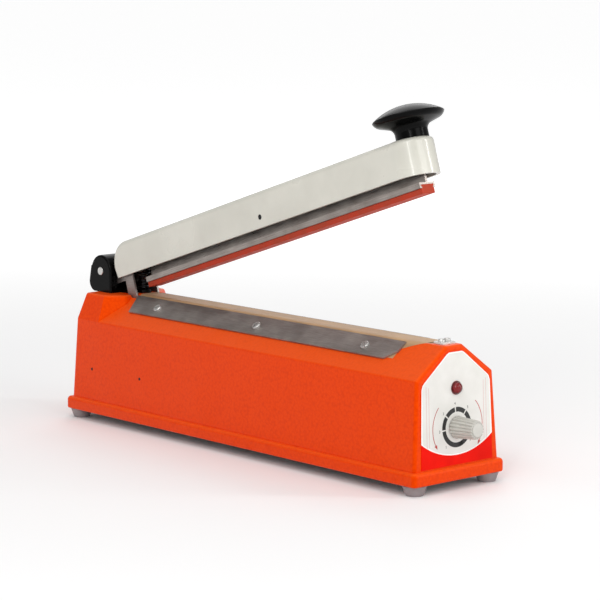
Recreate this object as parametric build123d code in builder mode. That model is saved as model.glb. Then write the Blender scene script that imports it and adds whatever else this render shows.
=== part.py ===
from build123d import *
import os
from math import atan2, cos, degrees, pi, radians, sin, tan

# Impulse heat sealer with a 300 mm jaw. Millimetres.
# X runs from the hinge to the timer panel, Y across, Z up. The origin is on the table, under the
# middle of the machine. The arm stands open, where its spring holds it.

os.makedirs("parts", exist_ok=True)

# ---------------------------------------------------------------- driving dimensions
overall_length = 417.0
base_length = 400.0
x_rear = -overall_length / 2
x_front = x_rear + base_length
base_middle = x_rear + base_length / 2

flange_width = 87.6
flange_bottom = 7.0
flange_top = 16.6
shoulder_height = 78.8
ridge_height = 100.2
block_height = 99.0
foot_half_width = 40.5
shoulder_half_width = 36.8
ridge_half_width = 8.0
block_half_width = 29.7
wall = 3.0

front_foot = x_front - 3.3
front_crest = x_front - 6.1
rear_foot = x_rear + 4.35
rear_shoulder = x_rear + 6.4
rear_crest = x_rear + 10.0
block_side_end = x_rear + 34.0
shoulder_corner = x_rear + 35.0
ridge_start = x_rear + 43.0
side_lean = (foot_half_width - shoulder_half_width) / (shoulder_height - flange_top)

slope_angle = degrees(
    atan2(ridge_height - shoulder_height, shoulder_half_width - ridge_half_width)
)
rear_slant = (rear_shoulder - rear_foot) / (shoulder_height - flange_top)
front_slant = (front_foot - front_crest) / (ridge_height - flange_top)
front_lean = degrees(atan2(front_foot - front_crest, ridge_height - flange_top))

# Hinge and arm. Along the arm means from the hinge pin towards the handle, up means square to it.
hinge_x = x_rear + 15.0
hinge_z = 115.5
open_angle = 17.4
closed_angle = 2.2
arm_travel = open_angle - closed_angle
pin_radius = 3.2
arm_width = 34.0
arm_wall = 3.0
arm_end = 371.0
arm_heel = 16.0
arm_crown = 9.6
arm_under = -9.5
arm_top = 17.0

bar_start = 40.7
bar_end = 362.8
rocker_along = (bar_start + bar_end) / 2
rocker_up = -1.7
rocker_radius = 2.0
channel_half_width = 7.15
channel_top = -14.4
channel_lip = -18.4
rubber_face = -22.4

handle_along = 358.0
running_gap = 0.05

# ---------------------------------------------------------------- planes
flat_arm = radians(open_angle)
arm_side = Plane(
    origin=(hinge_x, 0, hinge_z), x_dir=(cos(flat_arm), 0, sin(flat_arm)), z_dir=(0, -1, 0)
)
arm_plan = Plane(
    origin=(hinge_x, 0, hinge_z),
    x_dir=(cos(flat_arm), 0, sin(flat_arm)),
    z_dir=(-sin(flat_arm), 0, cos(flat_arm)),
)
front_face = Plane(
    origin=(front_foot, 0, flange_top),
    x_dir=(0, 1, 0),
    z_dir=(cos(radians(front_lean)), 0, sin(radians(front_lean))),
)
side_view = Plane(origin=(0, 0, 0), x_dir=(1, 0, 0), z_dir=(0, -1, 0))


def slope_plane(side, height):
    """A plane on one long slope of the casing, raised by height; y runs down the slope on side 1."""
    tilt = radians(slope_angle)
    lift = (0, side * sin(tilt) * height, cos(tilt) * height)
    return Plane(
        origin=(0, side * ridge_half_width + lift[1], ridge_height + lift[2]),
        x_dir=(1, 0, 0),
        z_dir=(0, side * sin(tilt), cos(tilt)),
    )


def arm_point(along, up):
    """The X and Z of a point of the open arm."""
    x = hinge_x + along * cos(flat_arm) - up * sin(flat_arm)
    z = hinge_z + along * sin(flat_arm) + up * cos(flat_arm)
    return x, z


def half_width_at(height):
    """The casing's half width at a height below its shoulder."""
    return foot_half_width - side_lean * (height - flange_top)


def save(piece, name):
    """Labels a finished piece and writes it as its own file."""
    piece.part.label = name
    export_step(piece.part, "parts/" + name + ".step")


def is_rounded(edge):
    """Whether an edge of the casing's upper shape is rounded off; the hinge block's valleys are not."""
    middle = edge.center()
    along = middle.X - x_rear
    across = abs(middle.Y)
    at_end = middle.Z > flange_bottom + 4 and (along > 393 or along < 10.5)
    long_edge = edge.length > 300 and middle.Z > 50
    block_rim = 10.5 < along < 46 and across > 11 and middle.Z > 98
    block_nose = 46 < along < 47.5 and across > 17 and middle.Z > 94
    return at_end or long_edge or block_rim or block_nose


def casing_form(inset, floor):
    """The casing's upper shape from floor up, or the hollow inside it when inset is the wall."""
    low = half_width_at(floor)
    with BuildPart() as form:
        with BuildSketch(Plane.YZ.offset(x_rear)):
            with BuildLine():
                Polyline(
                    (-low, floor),
                    (low, floor),
                    (shoulder_half_width, shoulder_height),
                    (ridge_half_width, ridge_height),
                    (-ridge_half_width, ridge_height),
                    (-shoulder_half_width, shoulder_height),
                    close=True,
                )
            make_face()
            if inset:
                offset(amount=-inset, kind=Kind.INTERSECTION, mode=Mode.REPLACE)
        extrude(amount=base_length)
        # the hinge block, with its two corners cut back
        corner = shoulder_half_width - 18.0
        with BuildSketch(Plane.XY.offset(shoulder_height)):
            with BuildLine():
                Polyline(
                    (x_rear - 5, -shoulder_half_width),
                    (shoulder_corner, -shoulder_half_width),
                    (shoulder_corner + corner, -18.0),
                    (shoulder_corner + corner, 18.0),
                    (shoulder_corner, shoulder_half_width),
                    (x_rear - 5, shoulder_half_width),
                    close=True,
                )
            make_face()
            if inset:
                offset(amount=-inset, kind=Kind.INTERSECTION, mode=Mode.REPLACE)
        with BuildSketch(Plane.XY.offset(block_height - inset)):
            with BuildLine():
                Polyline(
                    (x_rear - 5, -block_half_width),
                    (block_side_end, -block_half_width),
                    (block_side_end + block_half_width - 18.0, -18.0),
                    (block_side_end + block_half_width - 18.0, 18.0),
                    (block_side_end, block_half_width),
                    (x_rear - 5, block_half_width),
                    close=True,
                )
            make_face()
            if inset:
                offset(amount=-inset, kind=Kind.INTERSECTION, mode=Mode.REPLACE)
        loft()
        # the ridge ends at the hinge block's flat top
        with BuildSketch(Plane.XY.offset(block_height - inset)):
            with Locations((ridge_start - inset - 30, 0)):
                Rectangle(60, 60)
        extrude(amount=10, mode=Mode.SUBTRACT)
        # both ends lean in
        with BuildSketch(side_view):
            with BuildLine():
                Polyline(
                    (rear_foot - rear_slant * (flange_top - floor), floor),
                    (front_foot + front_slant * (flange_top - floor), floor),
                    (front_crest, ridge_height),
                    (rear_crest, ridge_height),
                    (rear_shoulder, shoulder_height),
                    close=True,
                )
            make_face()
            if inset:
                offset(amount=-inset, kind=Kind.INTERSECTION, mode=Mode.REPLACE)
        extrude(amount=60, both=True, mode=Mode.INTERSECT)
        if not inset:
            fillet([edge for edge in form.edges() if is_rounded(edge)], radius=2.5)
    return form.part


def screw(plane, head_radius, head_height, shank_radius, shank_length, slot_width):
    """A slotted pan-head screw: its head stands on the plane, its shank goes down from it."""
    with BuildPart() as fastener:
        with BuildSketch(plane):
            Circle(head_radius)
        extrude(amount=head_height)
        crown = fastener.faces().filter_by(GeomType.PLANE)
        top = max(crown, key=lambda face: plane.to_local_coords(face.center()).Z)
        fillet(top.edges(), radius=head_height * 0.45)
        with BuildSketch(plane.offset(head_height * 0.55)):
            Rectangle(head_radius * 2.2, slot_width)
        extrude(amount=head_height, mode=Mode.SUBTRACT)
        with BuildSketch(plane):
            Circle(shank_radius)
        extrude(amount=-shank_length)
    return fastener.part


# ---------------------------------------------------------------- casing
slot_across = 10.7
slot_width = 3.2
slot_start = x_rear + 33.5
slot_end = x_rear + 57.0
plate_recess = 1.2
foot_inset_x = 9.0
foot_inset_y = 9.0
foot_places = [
    (x, y)
    for x in (x_rear + foot_inset_x, x_front - foot_inset_x)
    for y in (-flange_width / 2 + foot_inset_y, flange_width / 2 - foot_inset_y)
]
clamp_screw_x = [x_rear + 89.4 + 117.75 * i for i in range(3)]
clamp_screw_down = 13.3
lamp_up = (70.8 - flange_top) / cos(radians(front_lean))
dial_up = (43.5 - flange_top) / cos(radians(front_lean))
terminal_x = x_rear + 383.7
terminal_across = 2.7
cord_height = 30.0
spring_x = x_rear + 47.0
rivet_places = [(x_rear + 29.0, 41.0), (x_rear + 90.0, 41.0)]
hinge_screw_x = [x_rear + 9.5, x_rear + 35.0]

outer_form = casing_form(0.0, flange_bottom + 3.0)
inner_form = casing_form(wall, flange_bottom - 4.0)

with BuildPart() as casing:
    with BuildSketch(Plane.XY.offset(flange_bottom)):
        with Locations((base_middle, 0)):
            RectangleRounded(base_length, flange_width, 3.5)
    extrude(amount=flange_top - flange_bottom)
    fillet(casing.edges().group_by(Axis.Z)[-1], radius=3.0)
    fillet(casing.edges().group_by(Axis.Z)[0], radius=1.2)
    add(outer_form)
    add(inner_form, mode=Mode.SUBTRACT)
    # screw bosses in the corners
    with BuildSketch(Plane.XY.offset(flange_bottom + plate_recess)):
        with Locations(*foot_places):
            Circle(5.5)
    extrude(amount=14)
    # the underside is recessed for the bottom plate
    with BuildSketch(Plane.XY.offset(flange_bottom)):
        with Locations((base_middle, 0)):
            RectangleRounded(base_length - 8, flange_width - 8, 2.0)
    extrude(amount=plate_recess, mode=Mode.SUBTRACT)
    with BuildSketch(Plane.XY.offset(flange_bottom + plate_recess)):
        with Locations(*foot_places):
            Circle(1.7)
    extrude(amount=12, mode=Mode.SUBTRACT)
    # the seal bed is sunk a little into the ridge
    with BuildSketch(Plane.XY.offset(ridge_height - 0.6)):
        with Locations((x_rear + 217, 0)):
            Rectangle(322, 14.8)
    extrude(amount=2, mode=Mode.SUBTRACT)
    # slots for the two legs of the arm bracket
    with BuildSketch(Plane.XY.offset(70)):
        with Locations(
            ((slot_start + slot_end) / 2, -slot_across), ((slot_start + slot_end) / 2, slot_across)
        ):
            Rectangle(slot_end - slot_start, slot_width)
    extrude(amount=40, mode=Mode.SUBTRACT)
    # clamp screw holes
    for side in (-1, 1):
        with BuildSketch(slope_plane(side, 2)):
            with Locations(*[(x, side * clamp_screw_down) for x in clamp_screw_x]):
                Circle(2.0)
        extrude(amount=-9, mode=Mode.SUBTRACT)
    # lamp and timer holes through the front wall
    with BuildSketch(front_face.offset(5)):
        with Locations((0, lamp_up)):
            Circle(3.6)
        with Locations((0, dial_up)):
            Circle(3.6)
    extrude(amount=-12, mode=Mode.SUBTRACT)
    # cord inlet in the rear wall
    with BuildSketch(Plane.YZ.offset(x_rear - 2)):
        with Locations((0, cord_height)):
            Circle(5.5)
    extrude(amount=14, mode=Mode.SUBTRACT)
    # hinge, spring seat and terminal screw holes
    with BuildSketch(Plane.XY.offset(block_height + 2)):
        with Locations(*[(x, 0) for x in hinge_screw_x]):
            Circle(1.55)
    extrude(amount=-9, mode=Mode.SUBTRACT)
    with BuildSketch(Plane.XY.offset(ridge_height + 1)):
        with Locations((spring_x, 0)):
            Circle(2.05)
        with Locations((terminal_x, -terminal_across), (terminal_x, terminal_across)):
            Circle(1.3)
        with Locations((x_rear + 59, 0)):
            Rectangle(2.4, 5.0)
    extrude(amount=-10, mode=Mode.SUBTRACT)
    # two rivet holes low on the left side
    with BuildSketch(side_view.offset(45)):
        with Locations(*rivet_places):
            Circle(1.15)
    extrude(amount=-14, mode=Mode.SUBTRACT)
save(casing, "casing")

# ---------------------------------------------------------------- underside
with BuildPart() as bottom_plate:
    with BuildSketch(Plane.XY.offset(flange_bottom)):
        with Locations((base_middle, 0)):
            RectangleRounded(base_length - 8.4, flange_width - 8.4, 1.8)
        with Locations(*foot_places):
            Circle(1.9, mode=Mode.SUBTRACT)
        # cooling slots
        with Locations((x_rear + 150, 0)):
            with GridLocations(12, 30, 6, 1):
                SlotOverall(30, 4, rotation=90, mode=Mode.SUBTRACT)
    extrude(amount=plate_recess - 0.1)
save(bottom_plate, "bottom_plate")

foot_names = ["rear_left", "rear_right", "front_left", "front_right"]
for foot_name, (x, y) in zip(foot_names, foot_places):
    with BuildPart() as foot:
        with BuildSketch(Plane.XY):
            with Locations((x, y)):
                Circle(6.2)
        with BuildSketch(Plane.XY.offset(flange_bottom)):
            with Locations((x, y)):
                Circle(8.7)
        loft()
        fillet(foot.edges().group_by(Axis.Z)[0], radius=0.8)
        with BuildSketch(Plane.XY):
            with Locations((x, y)):
                Circle(3.3)
        extrude(amount=4.2, mode=Mode.SUBTRACT)
        with BuildSketch(Plane.XY):
            with Locations((x, y)):
                Circle(1.8)
        extrude(amount=flange_bottom, mode=Mode.SUBTRACT)
    save(foot, foot_name + "_foot")

with BuildPart() as foot_screws:
    for x, y in foot_places:
        with BuildSketch(Plane.XY.offset(2.0)):
            with Locations((x, y)):
                Circle(2.9)
        extrude(amount=2.15)
        with BuildSketch(Plane.XY.offset(2.0)):
            with Locations((x, y)):
                Circle(1.6)
        extrude(amount=15)
        with BuildSketch(Plane.XY.offset(2.0)):
            with Locations((x, y)):
                Rectangle(6.4, 0.8)
        extrude(amount=0.9, mode=Mode.SUBTRACT)
save(foot_screws, "foot_screws")

# ---------------------------------------------------------------- seal bed
bed_start = x_rear + 56.2
bed_end = x_rear + 377.8
with BuildPart() as insulation_strip:
    with BuildSketch(Plane.XY.offset(ridge_height - 0.6)):
        with Locations(((bed_start + bed_end) / 2, 0)):
            Rectangle(bed_end - bed_start, 14.4)
        with Locations((x_rear + 59, 0)):
            Rectangle(3.0, 6.0, mode=Mode.SUBTRACT)
    extrude(amount=0.35)
save(insulation_strip, "insulation_strip")

element_z = ridge_height - 0.2
element_tail = x_rear + 59.0
with BuildPart() as heating_element:
    with BuildSketch(side_view):
        with BuildLine():
            Polyline(
                (element_tail - 0.1, 86.0),
                (element_tail + 0.1, 86.0),
                (element_tail + 0.1, element_z),
                (x_rear + 376.0, element_z),
                (x_rear + 378.2, ridge_height + 0.05),
                (x_rear + 381.0, ridge_height + 0.05),
                (x_rear + 381.0, ridge_height + 0.25),
                (x_rear + 378.0, ridge_height + 0.25),
                (x_rear + 375.8, element_z + 0.2),
                (element_tail - 0.1, element_z + 0.2),
                close=True,
            )
        make_face()
    extrude(amount=1.5, both=True)
save(heating_element, "heating_element")

cloth_start = x_rear + 54.0
cloth_end = x_rear + 375.0
cloth_drop = 19.0
cloth_gap = 0.06
cloth_thickness = 0.25
half_slope = tan(radians(slope_angle / 2))
slope_run = cos(radians(slope_angle))
slope_rise = sin(radians(slope_angle))


def cloth_outline(lift):
    """Half of the cloth's section at a lift off the casing, from the middle to its lower edge."""
    edge_y = ridge_half_width + half_slope * lift
    edge_z = ridge_height + lift
    low_y = edge_y + cloth_drop * slope_run
    low_z = edge_z - cloth_drop * slope_rise
    return [(edge_y, edge_z), (low_y, low_z)]


with BuildPart() as ptfe_cloth:
    below = cloth_outline(cloth_gap)
    above = cloth_outline(cloth_gap + cloth_thickness)
    with BuildSketch(Plane.YZ.offset(cloth_start)):
        with BuildLine():
            Polyline(
                below[1],
                below[0],
                (-below[0][0], below[0][1]),
                (-below[1][0], below[1][1]),
                (-above[1][0], above[1][1]),
                (-above[0][0], above[0][1]),
                above[0],
                above[1],
                close=True,
            )
        make_face()
    extrude(amount=cloth_end - cloth_start)
    # the front corners sweep up to the ridge
    for side in (-1, 1):
        with BuildSketch(slope_plane(side, -2)):
            with BuildLine():
                Line((cloth_end - 18, side * 30), (cloth_end - 18, side * 9))
                RadiusArc((cloth_end - 18, side * 9), (cloth_end + 1, side * 0.1), side * 30)
                Line((cloth_end + 1, side * 0.1), (cloth_end + 1, side * 30))
                Line((cloth_end + 1, side * 30), (cloth_end - 18, side * 30))
            make_face()
        extrude(amount=6, mode=Mode.SUBTRACT)
        with BuildSketch(slope_plane(side, -3)):
            with Locations(*[(x, side * clamp_screw_down) for x in clamp_screw_x]):
                Circle(2.2)
        extrude(amount=6, mode=Mode.SUBTRACT)
save(ptfe_cloth, "ptfe_cloth")

clamp_lift = cloth_gap + cloth_thickness + 0.04
clamp_thickness = 1.2
clamp_top = 3.2
clamp_low = 21.2
for side, hand in ((-1, "left"), (1, "right")):
    with BuildPart() as clamp_strip:
        with BuildSketch(slope_plane(side, clamp_lift)):
            with BuildLine():
                outline = Polyline(
                    (x_rear + 54.0, side * clamp_top),
                    (x_rear + 357.5, side * clamp_top),
                    (x_rear + 357.5, side * (clamp_low - 8)),
                    (x_rear + 349.5, side * clamp_low),
                    (x_rear + 60.0, side * clamp_low),
                    close=True,
                )
            make_face()
            with Locations(*[(x, side * clamp_screw_down) for x in clamp_screw_x]):
                Circle(2.2, mode=Mode.SUBTRACT)
        extrude(amount=clamp_thickness)
    save(clamp_strip, hand + "_clamp_strip")

clamp_screws = BuildPart()
with clamp_screws:
    for side in (-1, 1):
        deck = slope_plane(side, clamp_lift + clamp_thickness + 0.02)
        for i, x in enumerate(clamp_screw_x):
            spot = Plane(
                origin=deck.from_local_coords((x, side * clamp_screw_down, 0)),
                x_dir=deck.x_dir.rotate(Axis((0, 0, 0), deck.z_dir), 35 + 50 * i),
                z_dir=deck.z_dir,
            )
            add(screw(spot, 3.4, 2.0, 1.95, 8.5, 0.9))
save(clamp_screws, "clamp_screws")

with BuildPart() as front_terminal:
    with BuildSketch(Plane.XY.offset(ridge_height + 0.02)):
        with Locations((x_rear + 383.8, 0)):
            RectangleRounded(10.4, 12.0, 1.0)
        with Locations((terminal_x, -terminal_across), (terminal_x, terminal_across)):
            Circle(1.4, mode=Mode.SUBTRACT)
    extrude(amount=1.5)
    with BuildSketch(Plane.XY.offset(ridge_height)):
        with Locations((x_rear + 379.5, 0)):
            Rectangle(4.0, 3.4)
    extrude(amount=0.35, mode=Mode.SUBTRACT)
save(front_terminal, "front_terminal")

with BuildPart() as terminal_screws:
    for y in (-terminal_across, terminal_across):
        spot = Plane(origin=(terminal_x, y, ridge_height + 1.55), x_dir=(1, 1, 0), z_dir=(0, 0, 1))
        add(screw(spot, 2.35, 1.9, 1.2, 7.0, 0.7))
save(terminal_screws, "terminal_screws")

with BuildPart() as rear_terminal:
    with BuildSketch(Plane.XY.offset(84)):
        with Locations((element_tail + 5.2, 0)):
            Rectangle(10.0, 9.0)
    extrude(amount=ridge_height - wall - 84)
save(rear_terminal, "rear_terminal")

# ---------------------------------------------------------------- front panel
panel_half = 34.2
panel_top = (96.0 - flange_top) / cos(radians(front_lean))
panel_shoulder = (77.5 - flange_top) / cos(radians(front_lean))
with BuildPart() as control_panel:
    with BuildSketch(front_face.offset(0.03)) as panel_sketch:
        with BuildLine():
            Polyline(
                (-panel_half, 1.0),
                (panel_half, 1.0),
                (panel_half - 1.2, panel_shoulder - 5),
                (panel_half - 4.2, panel_shoulder),
                (6.7, panel_top),
                (-6.7, panel_top),
                (-panel_half + 4.2, panel_shoulder),
                (-panel_half + 1.2, panel_shoulder - 5),
                close=True,
            )
        make_face()
        fillet(panel_sketch.vertices().group_by(Axis.Y)[-1], radius=2.0)
        with Locations((0, lamp_up)):
            Circle(4.0, mode=Mode.SUBTRACT)
        with Locations((0, dial_up)):
            Circle(3.7, mode=Mode.SUBTRACT)
    extrude(amount=0.4)
save(control_panel, "control_panel")

panel_face = 0.43
lamp_plane = Plane(
    origin=front_face.from_local_coords((0, lamp_up, panel_face)),
    x_dir=front_face.x_dir,
    z_dir=front_face.z_dir,
)
dial_plane = Plane(
    origin=front_face.from_local_coords((0, dial_up, panel_face)),
    x_dir=front_face.x_dir,
    z_dir=front_face.z_dir,
)

with BuildPart() as lamp_lens:
    with BuildSketch(lamp_plane.offset(0.95)):
        Circle(4.0)
    extrude(amount=2.2)
    lens_face = max(
        lamp_lens.faces().filter_by(GeomType.PLANE),
        key=lambda face: lamp_plane.to_local_coords(face.center()).Z,
    )
    fillet(lens_face.edges(), radius=1.8)
    with BuildSketch(lamp_plane.offset(1.0)):
        Circle(2.9)
    extrude(amount=-8.0)
save(lamp_lens, "lamp_lens")

with BuildPart() as lamp_body:
    with BuildSketch(lamp_plane.offset(0.02)):
        Circle(4.7)
    extrude(amount=0.9)
    with BuildSketch(lamp_plane.offset(0.02)):
        Circle(3.55)
    extrude(amount=-24.0)
    with BuildSketch(lamp_plane.offset(2)):
        Circle(2.95)
    extrude(amount=-10.0, mode=Mode.SUBTRACT)
save(lamp_body, "lamp_body")

with BuildPart() as lamp_nut:
    with BuildSketch(front_face.offset(-wall - 0.1)):
        with Locations((0, lamp_up)):
            RegularPolygon(5.2, 6)
            Circle(3.6, mode=Mode.SUBTRACT)
    extrude(amount=-2.5)
save(lamp_nut, "lamp_nut")

# ---------------------------------------------------------------- timer
flute_count = 18
knob_length = 20.3
with BuildPart() as timer_knob:
    with BuildSketch(dial_plane.offset(0.5)):
        Circle(7.8)
    with BuildSketch(dial_plane.offset(knob_length)):
        Circle(6.3)
    loft()
    for i in range(flute_count):
        around = 2 * pi * i / flute_count
        with BuildSketch(dial_plane.offset(2.5)):
            with Locations((8.0 * cos(around), 8.0 * sin(around))):
                Circle(0.8)
        with BuildSketch(dial_plane.offset(knob_length + 1)):
            with Locations((6.4 * cos(around), 6.4 * sin(around))):
                Circle(0.65)
        loft(mode=Mode.SUBTRACT)
    with BuildSketch(dial_plane.offset(0.4)):
        Circle(3.05)
    extrude(amount=12, mode=Mode.SUBTRACT)
    with BuildSketch(dial_plane.offset(0.4)):
        Circle(5.6)
    extrude(amount=2.8, mode=Mode.SUBTRACT)
    with BuildSketch(dial_plane.offset(knob_length - 0.8)):
        Circle(4.9)
    extrude(amount=2, mode=Mode.SUBTRACT)
save(timer_knob, "timer_knob")

with BuildPart() as timer_knob_cap:
    with BuildSketch(dial_plane.offset(knob_length - 0.78)):
        Circle(4.85)
    extrude(amount=1.1)
    cap_face = max(
        timer_knob_cap.faces().filter_by(GeomType.PLANE),
        key=lambda face: dial_plane.to_local_coords(face.center()).Z,
    )
    fillet(cap_face.edges(), radius=0.5)
save(timer_knob_cap, "timer_knob_cap")

with BuildPart() as timer_shaft:
    with BuildSketch(dial_plane.offset(-10.0)):
        Circle(3.0)
    extrude(amount=22.0)
save(timer_shaft, "timer_shaft")

with BuildPart() as potentiometer:
    with BuildSketch(front_face.offset(-wall - 0.2)):
        with Locations((0, dial_up)):
            Circle(8.5)
    extrude(amount=-9.0)
    with BuildSketch(front_face.offset(-wall - 0.2)):
        with Locations((0, dial_up)):
            Circle(3.55)
    extrude(amount=wall + 0.2 + 2.4)
    with BuildSketch(front_face.offset(4)):
        with Locations((0, dial_up)):
            Circle(3.0 + running_gap)
    extrude(amount=-14.5, mode=Mode.SUBTRACT)
    with BuildSketch(front_face.offset(-wall - 6)):
        with Locations((0, dial_up - 10)):
            with GridLocations(5, 1, 3, 1):
                Rectangle(1.4, 9.0)
    extrude(amount=-0.6)
save(potentiometer, "potentiometer")

with BuildPart() as potentiometer_nut:
    with BuildSketch(dial_plane.offset(0.02)):
        RegularPolygon(5.1, 6)
        Circle(3.6, mode=Mode.SUBTRACT)
    extrude(amount=1.6)
save(potentiometer_nut, "potentiometer_nut")

# ---------------------------------------------------------------- electrics on the bottom plate
plate_top = flange_bottom + plate_recess - 0.1
core_x = x_rear + 232.0
core_size = (66.0, 34.0, 55.0)
core_floor = plate_top + 2.1
with BuildPart() as transformer_core:
    with BuildSketch(side_view.offset(-core_size[1] / 2)):
        with Locations((core_x, core_floor + core_size[2] / 2)):
            Rectangle(core_size[0], core_size[2])
        with Locations(
            (core_x - 16.5, core_floor + core_size[2] / 2),
            (core_x + 16.5, core_floor + core_size[2] / 2),
        ):
            Rectangle(11.0, 33.0, mode=Mode.SUBTRACT)
    extrude(amount=core_size[1])
save(transformer_core, "transformer_core")

with BuildPart() as transformer_coil:
    with BuildSketch(Plane.XY.offset(core_floor + 11.4)):
        with Locations((core_x, 0)):
            RectangleRounded(43.4, 55.0, 5.0)
            Rectangle(22.4, core_size[1] + 0.4, mode=Mode.SUBTRACT)
    extrude(amount=32.2)
save(transformer_coil, "transformer_coil")

strap_foot = 12.0
with BuildPart() as transformer_bracket:
    with BuildSketch(side_view.offset(-core_size[1] / 2 + 6)):
        with BuildLine():
            Polyline(
                (core_x - 33.3 - 1.5 - strap_foot, plate_top + 0.05),
                (core_x + 33.3 + 1.5 + strap_foot, plate_top + 0.05),
                (core_x + 33.3 + 1.5 + strap_foot, plate_top + 1.55),
                (core_x + 33.3 + 1.5, plate_top + 1.55),
                (core_x + 33.3 + 1.5, core_floor + 40.0),
                (core_x + 33.3, core_floor + 40.0),
                (core_x + 33.3, plate_top + 1.55),
                (core_x - 33.3, plate_top + 1.55),
                (core_x - 33.3, core_floor + 40.0),
                (core_x - 33.3 - 1.5, core_floor + 40.0),
                (core_x - 33.3 - 1.5, plate_top + 1.55),
                (core_x - 33.3 - 1.5 - strap_foot, plate_top + 1.55),
                close=True,
            )
        make_face()
    extrude(amount=core_size[1] - 12)
    with BuildSketch(Plane.XY.offset(plate_top)):
        with Locations((core_x - 41.0, 0), (core_x + 41.0, 0)):
            Circle(1.9)
    extrude(amount=3, mode=Mode.SUBTRACT)
save(transformer_bracket, "transformer_bracket")

with BuildPart() as transformer_screws:
    for x in (core_x - 41.0, core_x + 41.0):
        spot = Plane(origin=(x, 0, plate_top + 1.6), x_dir=(1, 0.4, 0), z_dir=(0, 0, 1))
        add(screw(spot, 3.2, 2.0, 1.7, 1.5, 0.8))
save(transformer_screws, "transformer_screws")

board_x = x_rear + 333.0
board_size = (66.0, 52.0, 1.6)
board_floor = plate_top + 8.0
standoff_places = [
    (board_x + i * (board_size[0] / 2 - 4), j * (board_size[1] / 2 - 4)) for i in (-1, 1) for j in (-1, 1)
]
with BuildPart() as board_standoffs:
    with BuildSketch(Plane.XY.offset(plate_top + 0.02)):
        with Locations(*standoff_places):
            Circle(2.8)
    extrude(amount=board_floor - plate_top - 0.04)
save(board_standoffs, "board_standoffs")

with BuildPart() as timer_board:
    with BuildSketch(Plane.XY.offset(board_floor)):
        with Locations((board_x, 0)):
            Rectangle(board_size[0], board_size[1])
        with Locations(*standoff_places):
            Circle(1.6, mode=Mode.SUBTRACT)
    extrude(amount=board_size[2])
save(timer_board, "timer_board")

board_top = board_floor + board_size[2] + 0.02
with BuildPart() as relay:
    with BuildSketch(Plane.XY.offset(board_top)):
        with Locations((board_x - 14.0, 9.0)):
            Rectangle(28.0, 12.5)
    extrude(amount=16.0)
    fillet(relay.edges().filter_by(Axis.Z), radius=0.8)
save(relay, "relay")

with BuildPart() as capacitor:
    with BuildSketch(Plane.XY.offset(board_top)):
        with Locations((board_x - 8.0, -13.0)):
            Circle(6.25)
    extrude(amount=20.0)
    fillet(capacitor.edges().group_by(Axis.Z)[-1], radius=0.8)
save(capacitor, "capacitor")

with BuildPart() as terminal_block:
    block_x = x_rear + 66.0
    with BuildSketch(Plane.XY.offset(plate_top + 0.02)):
        with Locations((block_x, 16)):
            Rectangle(30.0, 16.0)
    extrude(amount=9.0)
    with BuildSketch(Plane.XY.offset(plate_top + 9.02)):
        with Locations((block_x, 16)):
            Rectangle(30.0, 9.0)
    extrude(amount=5.0)
    with BuildSketch(Plane.XY.offset(plate_top + 14.02)):
        with Locations((block_x, 16)):
            with GridLocations(10, 1, 3, 1):
                Circle(2.0)
    extrude(amount=-6, mode=Mode.SUBTRACT)
save(terminal_block, "terminal_block")

with BuildPart() as cord_grommet:
    with BuildSketch(Plane.YZ.offset(x_rear + 1.2)):
        with Locations((0, cord_height)):
            Circle(7.4)
    extrude(amount=3.1)
    with BuildSketch(Plane.YZ.offset(x_rear + 1.2)):
        with Locations((0, cord_height)):
            Circle(5.45)
    extrude(amount=8.8)
    with BuildSketch(Plane.YZ.offset(x_rear + 8.3)):
        with Locations((0, cord_height)):
            Circle(6.6)
    extrude(amount=1.7)
    fillet(cord_grommet.edges().group_by(Axis.X)[0], radius=1.0)
    with BuildSketch(Plane.YZ.offset(x_rear)):
        with Locations((0, cord_height)):
            Circle(3.5)
    extrude(amount=20, mode=Mode.SUBTRACT)
save(cord_grommet, "cord_grommet")

# ---------------------------------------------------------------- microswitch under the hinge
bracket_low = 46.0
bracket_high = 74.0
wall_plate_y = -32.0
tab_y = -6.6
with BuildPart() as switch_bracket:
    with BuildSketch(Plane.XY.offset(bracket_low)):
        with BuildLine():
            Polyline(
                (x_rear + 18.0, tab_y),
                (x_rear + 31.0, tab_y),
                (x_rear + 31.0, tab_y + 1.5),
                (x_rear + 16.5, tab_y + 1.5),
                (x_rear + 16.5, wall_plate_y - 1.5),
                (x_rear + 96.0, wall_plate_y - 1.5),
                (x_rear + 96.0, wall_plate_y),
                (x_rear + 18.0, wall_plate_y),
                close=True,
            )
        make_face()
    extrude(amount=bracket_high - bracket_low)
    with BuildSketch(Plane.XY.offset(36)):
        with Locations((x_rear + 56.25, wall_plate_y - 0.75)):
            Rectangle(79.5, 1.5)
    extrude(amount=12)
    with BuildSketch(side_view.offset(20)):
        with Locations(*rivet_places):
            Circle(1.15)
    extrude(amount=20, mode=Mode.SUBTRACT)
    with BuildSketch(side_view.offset(-10)):
        with Locations((x_rear + 24.0, 55.0), (x_rear + 24.0, 70.0)):
            Circle(1.3)
    extrude(amount=20, mode=Mode.SUBTRACT)
save(switch_bracket, "switch_bracket")

with BuildPart() as side_rivets:
    for x, z in rivet_places:
        outside = half_width_at(z) + 0.15
        with BuildSketch(side_view.offset(outside)):
            with Locations((x, z)):
                Circle(1.1)
        extrude(amount=-(outside + wall_plate_y + 0.6))
        with BuildSketch(side_view.offset(-wall_plate_y - 0.05)):
            with Locations((x, z)):
                Circle(2.0)
        extrude(amount=-1.0)
save(side_rivets, "side_rivets")

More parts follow.
